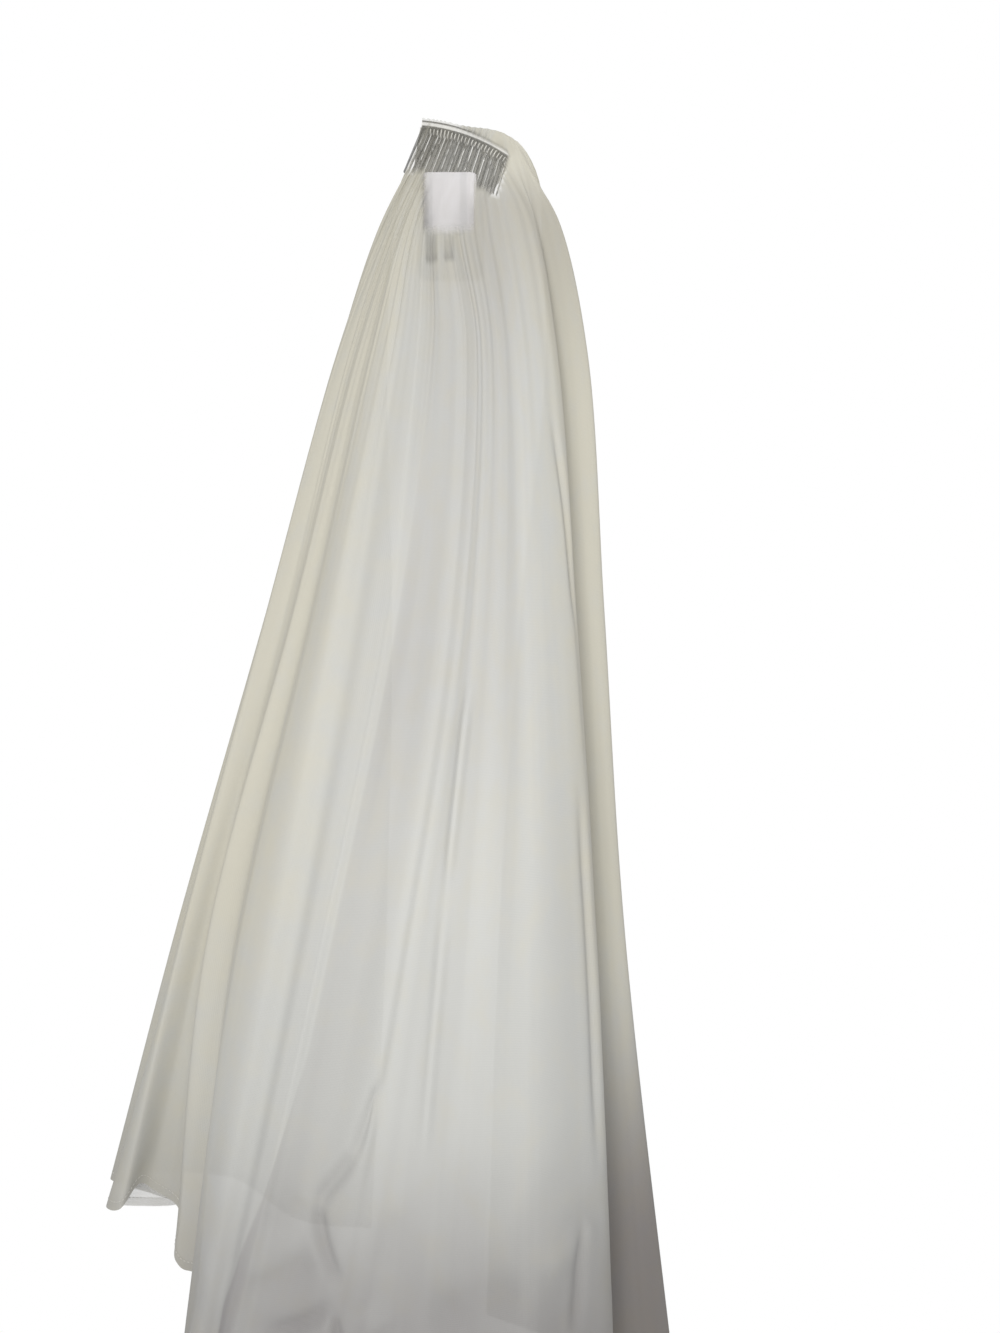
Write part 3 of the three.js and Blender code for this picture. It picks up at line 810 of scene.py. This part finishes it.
@dataclass
class HairComb:
    """The clear comb: its plane, its arched spine and the thread that sews the veil to it."""

    centre_x: float = 16 * MM
    centre_z: float = 71 * MM
    tilt: float = math.radians(19.6)
    length: float = 91 * MM
    rise: float = 6 * MM
    spine_height: float = 7.5 * MM
    thickness: float = 3.2 * MM
    plane_y: float = -28.1 * MM
    tooth_spread: float = 1.534
    tooth_steps: float = 25.0
    end_inset: float = 0.0154
    wrap_count: int = 23
    wrap_span: Pair = (0.1, 0.97)
    wrap_steps: int = 60
    wrap_lift: float = -3.0 * MM
    thread_radius: float = 0.62 * MM

    @property
    def radius(self) -> float:
        """The spine's arc radius, from its length and rise."""
        return ((self.length / 2) ** 2 + self.rise**2) / (2 * self.rise)

    @property
    def half_angle(self) -> float:
        """Half the angle of the spine's arc."""
        return math.asin(self.length / 2 / self.radius)

    @property
    def arc_centre(self) -> Place:
        """The centre of the spine's arc, in the plane y = 0."""
        drop = self.radius - self.rise / 2
        return self.centre_x - drop * math.sin(self.tilt), 0.0, self.centre_z - drop * math.cos(self.tilt)

    def point(self, share: np.ndarray, lift: np.ndarray, y: np.ndarray) -> np.ndarray:
        """Give places on the comb in the part's frame.

        Args:
            share: How far along the spine, 0 at the left end and 1 at the right.
            lift: Height over the spine's lower edge, in metres.
            y: Distance from the wall's plane, in metres.

        Returns:
            The places, with a last axis of three.
        """
        angle = (np.asarray(share) - 0.5) * 2 * self.half_angle
        reach = self.radius + lift
        flat_x = reach * np.sin(angle)
        flat_z = reach * np.cos(angle) - self.radius + self.rise / 2
        turn_c, turn_s = math.cos(self.tilt), math.sin(self.tilt)
        x = self.centre_x + flat_x * turn_c + flat_z * turn_s
        z = self.centre_z - flat_x * turn_s + flat_z * turn_c
        return np.stack(np.broadcast_arrays(x, y, z), axis=-1)

    def locate(self, x: np.ndarray, z: np.ndarray) -> tuple[np.ndarray, np.ndarray]:
        """Find places of the comb's plane on the comb.

        Args:
            x: The places' first coordinate, in metres.
            z: Their height, in metres.

        Returns:
            How far along the spine each place lies, and how far over the spine's lower edge.
        """
        dx, dz = x - self.centre_x, z - self.centre_z
        turn_c, turn_s = math.cos(self.tilt), math.sin(self.tilt)
        flat_x, flat_z = dx * turn_c - dz * turn_s, dx * turn_s + dz * turn_c + self.radius - self.rise / 2
        lift = np.where(flat_z > 0, np.hypot(flat_x, flat_z), 0.0) - self.radius
        root = flat_x / (1 + self.tooth_spread * np.maximum(-lift, 0))
        angle = np.arcsin(np.clip(root / self.radius, -1, 1))
        return angle / (2 * self.half_angle) + 0.5, lift

    def dress(self) -> None:
        """Give the comb its clear plastic."""
        coat("comb", ClearPlasticFinish(self).build())

    def sew(self, thread: bpy.types.Material) -> bpy.types.Object:
        """Wrap thread round the spine's lower edge, between the teeth.

        Args:
            thread: The thread's material.

        Returns:
            The thread wraps as one piece.
        """
        share = np.linspace(*self.wrap_span, self.wrap_steps)
        line = self.point(share, np.full_like(share, self.wrap_lift), np.full_like(share, self.plane_y))
        return RepeatAlong("thread_wraps_tree", thread).run(
            "thread_wraps",
            line,
            Count=self.wrap_count,
            Half_long=3.4 * MM,
            Half_deep=2.1 * MM,
            Turn=math.pi / 2,
            Thread_radius=self.thread_radius,
            Unevenness=0.25,
        )


@dataclass
class WallHook:
    """The white hook on the wall."""

    finish: MouldedPlasticFinish = MouldedPlasticFinish()

    def dress(self) -> None:
        """Give the hook its moulded plastic."""
        coat("wall_hook", self.finish.build())


@dataclass
class Veil:
    """The tulle panel with its gathered heading, its folds, creases and hem.

    Its spans, starts and ends are places from 0 to 1 across the fold table, and its rows are places
    down it. Its tops, feet, lows and turns are a height and a depth for under(), in metres, or in mm
    for the crumples.
    """

    comb: HairComb
    heights: tuple[float, ...] = (-20 * MM, -150 * MM, -400 * MM, -700 * MM)
    steps_across: int = 16
    steps_down: tuple[int, ...] = (3, 3, 3, 3, 12, 16, 26, 34, 92)
    wall: float = 1.2 * MM
    gathers: Wave = Wave(16, 0.012, 9.0)
    fine_gathers: Wave = Wave(43, 0.008, 17.0, 1.0)
    finer_gathers: Wave = Wave(67, 0.006, 23.0, 2.0)
    gather_crown: float = 0.08 * MM
    gather_depth: float = 0.8 * MM
    gather_hanging: float = 1.0 * MM
    gather_fine: float = 0.35 * MM
    fine_rows: Span = Span((3.2, 5.2), (5.3, 7.4))
    crown_left: float = 1.2 * MM
    crown_right: float = 12.0 * MM
    crown_rise: Pair = (0.35, 0.85)
    crown_shoulder: float = 0.6
    end_puff: Pair = (0.75, 0.9)
    end_crown_inset: float = 0.05
    end_shoulder_reach: float = 0.13
    end_foot_reach: float = 0.42
    heading_drop: float = 5 * MM
    seam_gap: float = 0.3 * MM
    tail_length: float = 62 * MM
    tail_width: float = 0.6
    tail_span: Pair = (-0.02, 1.03)
    tail_steps: tuple[int, int] = (24, 170)
    tail_wave: Wave = Wave(21, 0.01, 11.0)
    tail_sway: Pair = (0.05, 19.0)
    tail_flare: float = 0.14
    tail_gap: float = 1.4 * MM
    tail_depth: Pair = (0.6 * MM, 0.9 * MM)
    tail_warmth: float = 0.4
    hem_height: float = 8 * MM
    hem_rows: int = 4
    edge_rows: int = 3
    hem_lifts: tuple[Pair, ...] = ((0.151, 5.0), (0.190, 12.0), (0.240, 5.5))
    hem_lift_width: float = 0.011
    hem_lift_rows: float = 0.22
    stitch_count: int = 430
    stitch_inset: float = 0.8 * MM
    stitch_stand: float = 0.15 * MM
    front: Pair = (0.32, 0.79)
    back: Pair = (0.09, 0.92)
    edge: float = 0.02
    open_steps: int = 22
    open_panel: Span = Span((0.45, 0.48), (0.60, 0.64))
    open_panel_low: Pair = (-0.80, 0.13)
    open_flap: Span = Span((0.385, 0.41), (0.475, 0.50))
    open_flap_low: Pair = (-0.22, 0.20)
    crumple: float = 1.4 * MM
    crumple_across: tuple[float, float, float] = (12.0, 1.4, 31.0)
    crumple_down: tuple[float, float, float] = (19.0, 1.2, 27.0)
    crumple_low: Pair = (-790, 160)
    crease_ends: Span = Span((-0.08, 0.25), (0.75, 1.08))
    cover: float = 0.97
    cover_facing: float = 0.42
    cover_thin: float = 0.22
    cover_band: float = 0.10
    cover_hem: float = 0.6
    cover_arch: float = 0.5
    band_end: Pair = (0.35, 0.55)
    band_rows: Pair = (2.6, 3.4)
    thin_reach: float = 0.14
    thin_soft: float = 0.02
    tip_soft: Pair = (-2 * MM, 3 * MM)
    spine_soft: Pair = (-1 * MM, 1.5 * MM)
    spine_thin: Pair = (0.30, 0.50)
    comb_end: Pair = (0.04, 0.09)
    thin_layers: Span = Span((0.06, 0.10), (0.90, 0.94))
    tooth_reach: Pair = (47 * MM, 38 * MM)
    lip_front: float = -37 * MM
    facing: Span = Span((0.108, 0.118), (0.150, 0.160))
    facing_top: Pair = (30 * MM, 46 * MM)
    cool_layers: Span = Span((0.26, 0.42), (0.72, 0.82))
    cool_middle: float = 0.85
    cool_low: float = 0.5
    cool_top: Pair = (-0.62, 0.22)
    warm_heading: float = 0.45
    warm_rows: Pair = (Row.NAPE, 6.4)
    # Painted shade: darkening towards the bottom, in the creases, beside the flap fold, over the middle and
    # high on the right.
    grey_front: float = 0.37
    front_top: Pair = (-0.80, 0.20)
    flap_end: Pair = (0.43, 0.49)
    flap_fading: float = 0.35
    outer_end: Pair = (0.22, 0.30)
    outer_fading: float = 0.4
    grey_strip: float = 0.55
    strip_top: Pair = (-0.70, 0.28)
    strip_start: Pair = (0.84, 0.88)
    strip_return: Pair = (0.92, 0.97)
    strip_fading: float = 0.75
    crease_grey: float = 0.055
    crease_depth: float = 6 * MM
    crease_limits: Pair = (-0.7, 1.0)
    broad_shade: float = 0.022
    broad_shade_end: Pair = (0.60, 0.72)
    middle_shade: float = 0.08
    middle_layers: Span = Span((0.38, 0.48), (0.64, 0.74))
    middle_top: Pair = (0.03, 0.12)
    middle_foot: Pair = (-0.44, 0.22)
    neck_shade: float = 0.16
    neck_start: Pair = (0.55, 0.68)
    neck_top: Pair = (0.05, 0.06)
    neck_foot: Pair = (0.04, 0.26)
    fold_grey: float = 0.10
    fold_at: float = 0.458
    fold_shift: float = 0.073
    fold_turn: Pair = (-0.76, 0.24)
    fold_shade: Span = Span((-0.002, 0.003), (0.005, 0.082))
    fold_top: Pair = (-0.22, 0.25)
    fold_gain: float = 0.8
    flat_size: Pair = (1.54, 1.32)
    flat_area: float = 1.28
    grid: np.ndarray = field(init=False)
    flat: np.ndarray = field(init=False)
    share: np.ndarray = field(init=False)
    place: np.ndarray = field(init=False)
    at: np.ndarray = field(init=False)
    pressed: np.ndarray = field(init=False)

    def build(self) -> bpy.types.Object:
        """Work out the draped cloth and make its sheet.

        Returns:
            The veil's cloth as one open sheet.
        """
        self._lay_axes()
        grid = self._folded()
        grid = self._moved(grid, self._gathered())
        self.pressed = self._creased(grid)
        self.grid = self._moved(self._opened(grid), self.pressed)
        self.flat = self._flattened()
        cloth = sheet_mesh("veil_cloth", self.grid, self.flat)
        paint(cloth, self._cover(), self._warmth(), self._painted_shade_map())
        return cloth

    def tail(self) -> bpy.types.Object:
        """Make the gathered edge of the cloth that hangs down behind the comb's teeth.

        Returns:
            The edge as one open sheet.
        """
        rows, columns = self.tail_steps
        share = np.linspace(*self.tail_span, columns)
        drop = np.linspace(0.0, 1.0, rows)[:, None]
        sway, pace = self.tail_sway
        length = self.tail_length * (1 + sway * np.sin(pace * share))
        lift = self.comb.spine_height - self.heading_drop - length * drop
        top, low = self.tail_depth
        clear = self.comb.thickness / 2 + self.tail_gap
        depth = self.comb.plane_y + clear + (top + low * drop) * self.tail_wave.run(share)
        spread = share + self.tail_flare * drop * (share - 0.5)
        grid = self.comb.point(*np.broadcast_arrays(spread, lift, depth))
        across, down = share[None, :] * self.tail_width, -drop * self.tail_length
        flat = np.stack(np.broadcast_arrays(across, down), axis=-1)
        piece = sheet_mesh("veil_tail", grid, flat)
        paint(piece, self.cover, self.tail_warmth, 0.0)
        return piece

    def hem(self) -> bpy.types.Object:
        """Make the hem, turned up on the inside along the lower edge.

        Returns:
            The hem as one narrow open sheet.
        """
        inward = Side.INSIDE.value * (self.wall / 2 + self.seam_gap)
        lifts = np.linspace(1.0, 0.0, self.hem_rows) * self.hem_height
        strip = np.stack([self._over_edge(lift, inward) for lift in lifts])
        flat = np.stack([self.flat[-1] + np.array([0.0, lift]) for lift in lifts])
        piece = sheet_mesh("veil_hem", strip, flat)
        cover = self.cover_hem - self.cover_arch * self._single()[-1]
        paint(piece, cover, self._warmth()[-1], self._painted_shade_map()[-1])
        return piece

    def stitch(self, thread: bpy.types.Material) -> bpy.types.Object:
        """Run a line of small stitches along the top of the hem.

        Args:
            thread: The thread's material.

        Returns:
            The stitches as one piece.
        """
        return RepeatAlong("hem_stitch_tree", thread).run(
            "hem_stitches",
            self._over_edge(self.hem_height - self.stitch_inset, Side.OUTSIDE.value * self.stitch_stand),
            Count=self.stitch_count,
            Half_long=0.95 * MM,
            Half_deep=0.22 * MM,
            Turn=0.0,
            Thread_radius=0.14 * MM,
            Unevenness=0.15,
        )

    def _over_edge(self, lift: float, outward: float) -> np.ndarray:
        """Give a line of places along the cloth's lower edge.

        Args:
            lift: How far it runs over the edge, in metres.
            outward: How far it stands out of the cloth, in metres.

        Returns:
            The places, as an array (count, 3).
        """
        up = self.grid[-1 - self.edge_rows] - self.grid[-1]
        up /= np.linalg.norm(up, axis=-1, keepdims=True)
        return self.grid[-1] + up * lift + outward * self._outward(self.grid)[-1]

    def _lay_axes(self) -> None:
        """Set the grid's places across, in fold lines and from 0 to 1, and down, in table rows."""
        last = len(FOLDS) - 1
        self.share = np.linspace(0, last, last * self.steps_across + 1)
        self.at = np.interp(self.share, np.arange(last + 1), [line.at for line in FOLDS])[None, :]
        down = [row + np.arange(count) / count for row, count in enumerate(self.steps_down)]
        self.place = np.append(np.concatenate(down), len(self.steps_down))

    def _folded(self) -> np.ndarray:
        """Smooth the fold table.

        Returns:
            The large folds, as a grid of places (rows, columns, 3).
        """
        lines = np.stack([self._knots(line) for line in FOLDS])
        sections = smooth_line(lines, self.place).transpose(1, 0, 2)
        return smooth_line(sections, self.share)

    def _knots(self, line: FoldLine) -> np.ndarray:
        """Give the places that one fold line passes, over the spine and down to the hem.

        Args:
            line: The fold line.

        Returns:
            Its places, as an array (rows, 3).
        """
        clear = self.comb.thickness / 2 + 2 * self.seam_gap + self.wall / 2 + self.gather_depth
        rise = float(smoothstep(*self.crown_rise, np.array(line.at)))
        crown = self.crown_left + (self.crown_right - self.crown_left) * rise
        end = float(smoothstep(*self.end_puff, np.array(line.at)))
        top, y = self.comb.spine_height, self.comb.plane_y
        around = (
            (line.at, top - self.heading_drop, y + clear),
            (line.at, top + self.crown_shoulder * crown, y + clear),
            (line.at - self.end_crown_inset * end, top + crown, y),
            (line.at + self.end_shoulder_reach * end, top + self.crown_shoulder * crown, y - clear),
            (line.at + self.end_foot_reach * end, top - self.heading_drop, y - clear),
        )
        heading = [self.comb.point(share, lift, depth) for share, lift, depth in around]
        sections = (line.nape, line.shoulder, line.waist, line.thigh)
        hanging = [np.array([x * MM, depth * MM, z]) for (x, depth), z in zip(sections, self.heights)]
        return np.stack([*heading, *hanging, np.array(line.hem) * MM])

    def _outward(self, grid: np.ndarray) -> np.ndarray:
        """Give the cloth's outward direction at each place of a grid."""
        normal = np.cross(np.gradient(grid, axis=0), np.gradient(grid, axis=1))
        return normal / np.maximum(np.linalg.norm(normal, axis=-1, keepdims=True), 1e-12)

    def _moved(self, grid: np.ndarray, distance: np.ndarray) -> np.ndarray:
        """Move each place of a grid outward by its own distance."""
        return grid + self._outward(grid) * distance[..., None]

    def _gathered(self) -> np.ndarray:
        """Give the height of the small gathers, which fade out as the large folds open.

        Returns:
            The height at each grid place, in metres.
        """
        share, place = self.share / (len(FOLDS) - 1), self.place[:, None]
        heights = (self.gather_crown, self.gather_depth, self.gather_hanging)
        deep = np.interp(place, (Row.CROWN, Row.FOOT, Row.NAPE), heights)
        fading = self.gather_hanging * (1 - smoothstep(Row.NAPE, Row.WAIST, place))
        deep = np.where(place > Row.NAPE, fading, deep)
        soft = self.gather_fine * self.fine_rows.weigh(place)
        fine = self.fine_gathers.run(share) + 0.5 * self.finer_gathers.run(share)
        return deep * self.gathers.run(share) + soft * fine

    def _opened(self, grid: np.ndarray) -> np.ndarray:
        """Soften the folds low on the front and round the left hem's corners.

        Args:
            grid: The folded and gathered cloth.

        Returns:
            The cloth with its front opened into a plane, low down.
        """
        height = grid[..., 2]
        panel = self.open_panel.weigh(self.at) * under(*self.open_panel_low, height)
        flap = self.open_flap.weigh(self.at) * under(*self.open_flap_low, height)
        kernel = np.hanning(2 * self.open_steps + 3)[1:-1]
        padded = np.pad(grid[..., 1], ((0, 0), (self.open_steps, self.open_steps)), mode="edge")
        soft = np.stack([np.convolve(line, kernel / kernel.sum(), "valid") for line in padded])
        lift = np.zeros_like(self.at)
        for at, high in self.hem_lifts:
            lift = lift + high * MM * np.exp(-(((self.at - at) / self.hem_lift_width) ** 2))
        moved = grid.copy()
        moved[..., 1] += np.maximum(panel, flap) * (soft - grid[..., 1])
        moved[..., 2] += lift * smoothstep(Row.HEM - self.hem_lift_rows, Row.HEM, self.place[:, None])
        return moved

    def _creased(self, grid: np.ndarray) -> np.ndarray:
        """Give the height of the creases pressed into the front and into the two back layers.

        Args:
            grid: The folded and gathered cloth.

        Returns:
            The height at each grid place, in metres.
        """
        rise = (self.front[0] - self.edge, self.front[0] + self.edge)
        fall = (self.front[1] - self.edge / 2, self.front[1] + self.edge)
        front = Span(rise, fall).weigh(self.at)
        inner = Span((self.back[0] - self.edge, self.back[0]), (self.back[1], self.back[1] + self.edge))
        x, z = grid[..., 0] / MM, grid[..., 2] / MM
        waves = ripple(x, z, *self.crumple_across) * ripple(z, x, *self.crumple_down)
        crumple = self.crumple * waves * under(*self.crumple_low, z)
        back = self._pressed(x, z, BACK_CREASES) * (1 - inner.weigh(self.at))
        return (self._pressed(x, z, CREASES) + crumple) * front + back

    def _pressed(self, x: np.ndarray, z: np.ndarray, creases: tuple[CreaseLine, ...]) -> np.ndarray:
        """Give the height of some creases, as seen from the front.

        Args:
            x: The grid's places across, in mm.
            z: Their heights, in mm.
            creases: The creases.

        Returns:
            The creases' height at each grid place, in metres.
        """
        total = np.zeros_like(x)
        for crease in creases:
            start, end = np.array(crease.start), np.array(crease.end)
            length = np.linalg.norm(end - start)
            run = (end - start) / length
            along = ((x - start[0]) * run[0] + (z - start[1]) * run[1]) / length
            aside = (x - start[0]) * -run[1] + (z - start[1]) * run[0]
            aside = aside - crease.bow * 4 * along * (1 - along)
            profile = np.exp(-((aside / crease.half_width) ** 2)) * self.crease_ends.weigh(along)
            total += crease.kind.value * crease.height * MM * profile
        return total

    def _flattened(self) -> np.ndarray:
        """Lay the cloth flat: its hem's length across, and each line's length down.

        Returns:
            The grid's places in the flat cloth, as an array (rows, columns, 2), in metres.
        """
        hem_steps = np.linalg.norm(np.diff(self.grid[-1], axis=0), axis=-1)
        across = np.concatenate([[0.0], np.cumsum(hem_steps)])
        down_steps = np.linalg.norm(np.diff(self.grid, axis=0), axis=-1)
        down = np.concatenate([np.zeros((1, len(across))), np.cumsum(down_steps, axis=0)])
        return np.stack([np.broadcast_to(across, down.shape), -down], axis=-1)

    def _before(self, plane_y: float) -> tuple[np.ndarray, np.ndarray]:
        """Find what the cloth hides from the camera.

        Args:
            plane_y: A plane behind the cloth.

        Returns:
            The places (x, z) in that plane that each grid place hides.
        """
        eye_x, eye_y, eye_z = EYE
        stretch = (plane_y - eye_y) / (self.grid[..., 1] - eye_y)
        return eye_x + (self.grid[..., 0] - eye_x) * stretch, eye_z + (self.grid[..., 2] - eye_z) * stretch

    def _sparse(self) -> np.ndarray:
        """Say where the net is stretched thin, over the comb and the hook.

        Returns:
            The share of thinness at each grid place, from 0 to 1.
        """
        share, lift = self.comb.locate(*self._before(self.comb.plane_y))
        left, right = self.tooth_reach
        tips = left + (right - left) * np.clip(share, 0, 1)
        over_teeth = smoothstep(*self.tip_soft, lift + tips)
        under_spine = 1 - smoothstep(*self.spine_soft, lift - self.comb.spine_height)
        under_spine = np.maximum(under_spine, 1 - smoothstep(*self.spine_thin, share))
        thin = soft_box(share, -self.thin_reach, 1.0, self.thin_soft) * over_teeth * under_spine
        x, z = self._before(self.lip_front)
        for patch in THIN_PATCHES:
            wide = soft_box(x / MM, *patch.across, patch.soft)
            thin = np.maximum(thin, patch.share * wide * soft_box(z / MM, *patch.up, patch.soft))
        beside = 1 - smoothstep(*self.comb_end, share)
        return thin * np.maximum(self.thin_layers.weigh(self.at), beside)

    def _single(self) -> np.ndarray:
        """Say where one thin layer shows behind the arch of the left hem, from 0 to 1."""
        above_hem = self.flat[..., 1] - self.flat[-1:, :, 1]
        return self.facing.weigh(self.at) * (1 - smoothstep(*self.facing_top, above_hem))

    def _cover(self) -> np.ndarray:
        """Say how densely the net covers.

        Returns:
            The cover at each grid place, from 0 to 1.
        """
        cover = self.cover + (self.cover_thin - self.cover) * self._sparse()
        band = self.cover_band + (self.cover - self.cover_band) * smoothstep(*self.band_end, self.at)
        cover = cover + (band - cover) * (1 - smoothstep(*self.band_rows, self.place[:, None]))
        return cover + (self.cover_facing - cover) * self._single()

    def _warmth(self) -> np.ndarray:
        """Say how creamy the cloth looks: cool in the middle of the front, warm in the outer layers.

        Returns:
            The warmth at each grid place, from 0 to 1.
        """
        heading = self.warm_heading * (1 - smoothstep(*self.warm_rows, self.place[:, None]))
        low = self.cool_low * under(*self.cool_top, self.grid[..., 2])
        return np.clip(1.0 - self.cool_middle * self.cool_layers.weigh(self.at) + heading - low, 0, 1)

    def _painted_shade_map(self) -> np.ndarray:
        """Say how much painted shade the sheer cloth gets: a painted darkening towards the bottom that stands
        in for the darker surroundings seen through the net, strongest in the single layer at the right,
        painted shade in the crease troughs and painted light on their ridges, a painted shadow beside the
        flap fold, and painted shade over the middle, high on the right and faintly over the left.

        Returns:
            The painted shade at each grid place, from 0 to 1.
        """
        at, z = self.at, self.grid[..., 2]
        # Painted darkening towards the bottom of the front, standing in for the darker surroundings seen
        # through the net.
        low = under(*self.front_top, z)
        strip = 1 - self.strip_fading * smoothstep(*self.strip_return, at)
        strip = strip * smoothstep(*self.strip_start, at)
        flap = 1 - self.flap_fading * (1 - smoothstep(*self.flap_end, at))
        outer = 1 - self.outer_fading * (1 - smoothstep(*self.outer_end, at))
        grey = low * self.grey_front * (1 - strip) * flap * outer
        # More painted darkening low in the single layer at the right.
        grey = grey + under(*self.strip_top, z) * self.grey_strip * strip
        # Painted shade in the crease troughs and painted light on the crease ridges.
        grey = grey + self.crease_grey * np.clip(-self.pressed / self.crease_depth, *self.crease_limits)
        # Painted shade over the middle, high on the right and faintly over the left and middle.
        middle = self.middle_layers.weigh(at) * under(*self.middle_top, z) * (1 - under(*self.middle_foot, z))
        neck = smoothstep(*self.neck_start, at) * under(*self.neck_top, z) * (1 - under(*self.neck_foot, z))
        broad_shade = self.broad_shade * (1 - smoothstep(*self.broad_shade_end, at))
        broad_shade = broad_shade + self.middle_shade * middle + self.neck_shade * neck
        # A painted shadow just right of the flap fold, stronger low down.
        past = at - self.fold_at + self.fold_shift * under(*self.fold_turn, z)
        beside = self.fold_grey * self.fold_shade.weigh(past) * under(*self.fold_top, z)
        return np.clip(grey + broad_shade + beside * (1 + self.fold_gain * low), 0.0, 1.0)


@dataclass
class Studio:
    """The camera at the photo's angle, soft lights, a white surround and a pale floor."""

    camera_place: Place = EYE
    focal_pixels: float = 1007.0
    frame_height: float = 1333.0
    sensor: float = 36.0
    floor_z: float = -1.9
    floor_radius: float = 0.95
    floor_sides: int = 96
    lamp_colour: Colour = (1.0, 0.995, 0.98)

    def camera(self) -> None:
        """Place the camera level, a metre in front of the comb."""
        data = bpy.data.cameras.new("camera")
        data.sensor_width = self.sensor
        data.lens = self.focal_pixels / self.frame_height * self.sensor
        data.clip_start = 0.01
        camera = bpy.data.objects.new("camera", data)
        camera.location = self.camera_place
        camera.rotation_euler = (math.pi / 2, 0.0, 0.0)
        bpy.context.scene.collection.objects.link(camera)
        bpy.context.scene.camera = camera

    def spot(self, name: str, at: Place, aim: Place, cone: float, power: float, size: float = 0.35) -> None:
        """Set up one soft round lamp.

        Args:
            name: The lamp's name.
            at: Where it stands.
            aim: The place that it faces.
            cone: Its cone's full angle in degrees.
            power: Its power in watts.
            size: Its radius in metres.
        """
        data = bpy.data.lights.new(name, "SPOT")
        data.spot_size = math.radians(cone)
        data.spot_blend = 1.0
        data.shadow_soft_size = size
        data.energy = power
        data.color = self.lamp_colour
        light = bpy.data.objects.new(name, data)
        light.visible_camera = False
        light.location = at
        light.rotation_euler = (Vector(aim) - Vector(at)).to_track_quat("-Z", "Y").to_euler()
        bpy.context.scene.collection.objects.link(light)

    def lights(self) -> None:
        """Light the veil's middle from the front and its comb from above, so that the hem falls off."""
        self.spot("key", (-0.32, -2.1, -0.35), (-0.02, -0.15, -0.62), 44.0, 124.0)
        self.spot("side", (1.3, -1.6, 0.0), (0.11, -0.08, -0.26), 44.0, 38.0)
        self.spot("head", (-0.5, -1.1, 0.75), (0.02, -0.04, 0.0), 36.0, 38.0)
        self.spot("heading", (0.35, -1.0, 0.5), (0.075, -0.045, 0.088), 9.0, 15.0, 0.06)

    def surround(self) -> None:
        """Fill the view with white, and light the veil with a softer white."""
        world = bpy.data.worlds.new("surround")
        world.use_nodes = True
        tree = world.node_tree
        tree.nodes.clear()
        output = tree.nodes.new("ShaderNodeOutputWorld")
        mix = tree.nodes.new("ShaderNodeMixShader")
        seen, lit = tree.nodes.new("ShaderNodeBackground"), tree.nodes.new("ShaderNodeBackground")
        for shade, strength, colour in ((seen, 1.0, (1.0, 1.0, 1.0)), (lit, 0.6, (0.98, 0.99, 1.0))):
            shade.inputs["Strength"].default_value = strength
            shade.inputs["Color"].default_value = (*colour, 1.0)
        path = tree.nodes.new("ShaderNodeLightPath")
        tree.links.new(path.outputs["Is Camera Ray"], mix.inputs[0])
        tree.links.new(lit.outputs[0], mix.inputs[1])
        tree.links.new(seen.outputs[0], mix.inputs[2])
        tree.links.new(mix.outputs[0], output.inputs["Surface"])
        bpy.context.scene.world = world
        bpy.context.scene.view_settings.view_transform = "Standard"

    def floor(self) -> None:
        """Lay a round pale floor well under the hem."""
        mesh = bpy.data.meshes.new("floor")
        angles = np.linspace(0, 2 * np.pi, self.floor_sides, endpoint=False)
        rim = [np.cos(angles) * self.floor_radius, np.sin(angles) * self.floor_radius]
        points = np.stack([*rim, np.full_like(angles, self.floor_z)], axis=1)
        mesh.from_pydata(points.tolist(), [], [tuple(range(self.floor_sides))])
        floor = bpy.data.objects.new("floor", mesh)
        bpy.context.scene.collection.objects.link(floor)
        sheet = NodeSheet("pale_floor")
        sheet.principled(Base_Color=(0.85, 0.85, 0.84), Roughness=0.7)
        mesh.materials.append(sheet.material)


def main() -> None:
    """Build the studio, the hook, the comb and the veil, and report each piece."""
    logging.basicConfig(level=logging.INFO, format="%(name)s: %(message)s")
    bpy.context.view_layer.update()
    studio = Studio()
    studio.camera()
    studio.lights()
    studio.surround()
    studio.floor()
    log.info("studio ready, camera at %s", studio.camera_place)

    WallHook().dress()
    log.info("wall hook dressed")

    comb = HairComb()
    comb.dress()
    thread = ThreadFinish().build()
    wraps = comb.sew(thread)
    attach(wraps, "root")
    log.info("comb dressed, %d thread wraps, %d faces", comb.wrap_count, len(wraps.data.polygons))

    veil = Veil(comb)
    cloth = veil.build()
    cloth.data.materials.append(TulleFinish().build())
    tail = veil.tail()
    # The tail behind the teeth gets lighter tulle colours: painted light, standing in for the light that the
    # comb's shade keeps from it.
    pale = TulleFinish(name="ivory_tulle_tail", cool=(0.66, 0.65, 0.63), cream=(0.66, 0.65, 0.6))
    tail.data.materials.append(pale.build())
    hem = veil.hem()
    hem.data.materials.append(TulleFinish(name="ivory_tulle_hem", extra_cover=0.1).build())
    stitches = veil.stitch(thread)
    for piece, slot in ((cloth, "tulle"), (tail, "tulle"), (hem, "tulle_hem"), (stitches, "tulle_hem")):
        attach(piece, "root")
        log.info("%s: %d faces", piece.name, len(piece.data.polygons))
    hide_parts("veil_tulle")
    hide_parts("hem_fold")


if __name__ == "__main__":
    main()
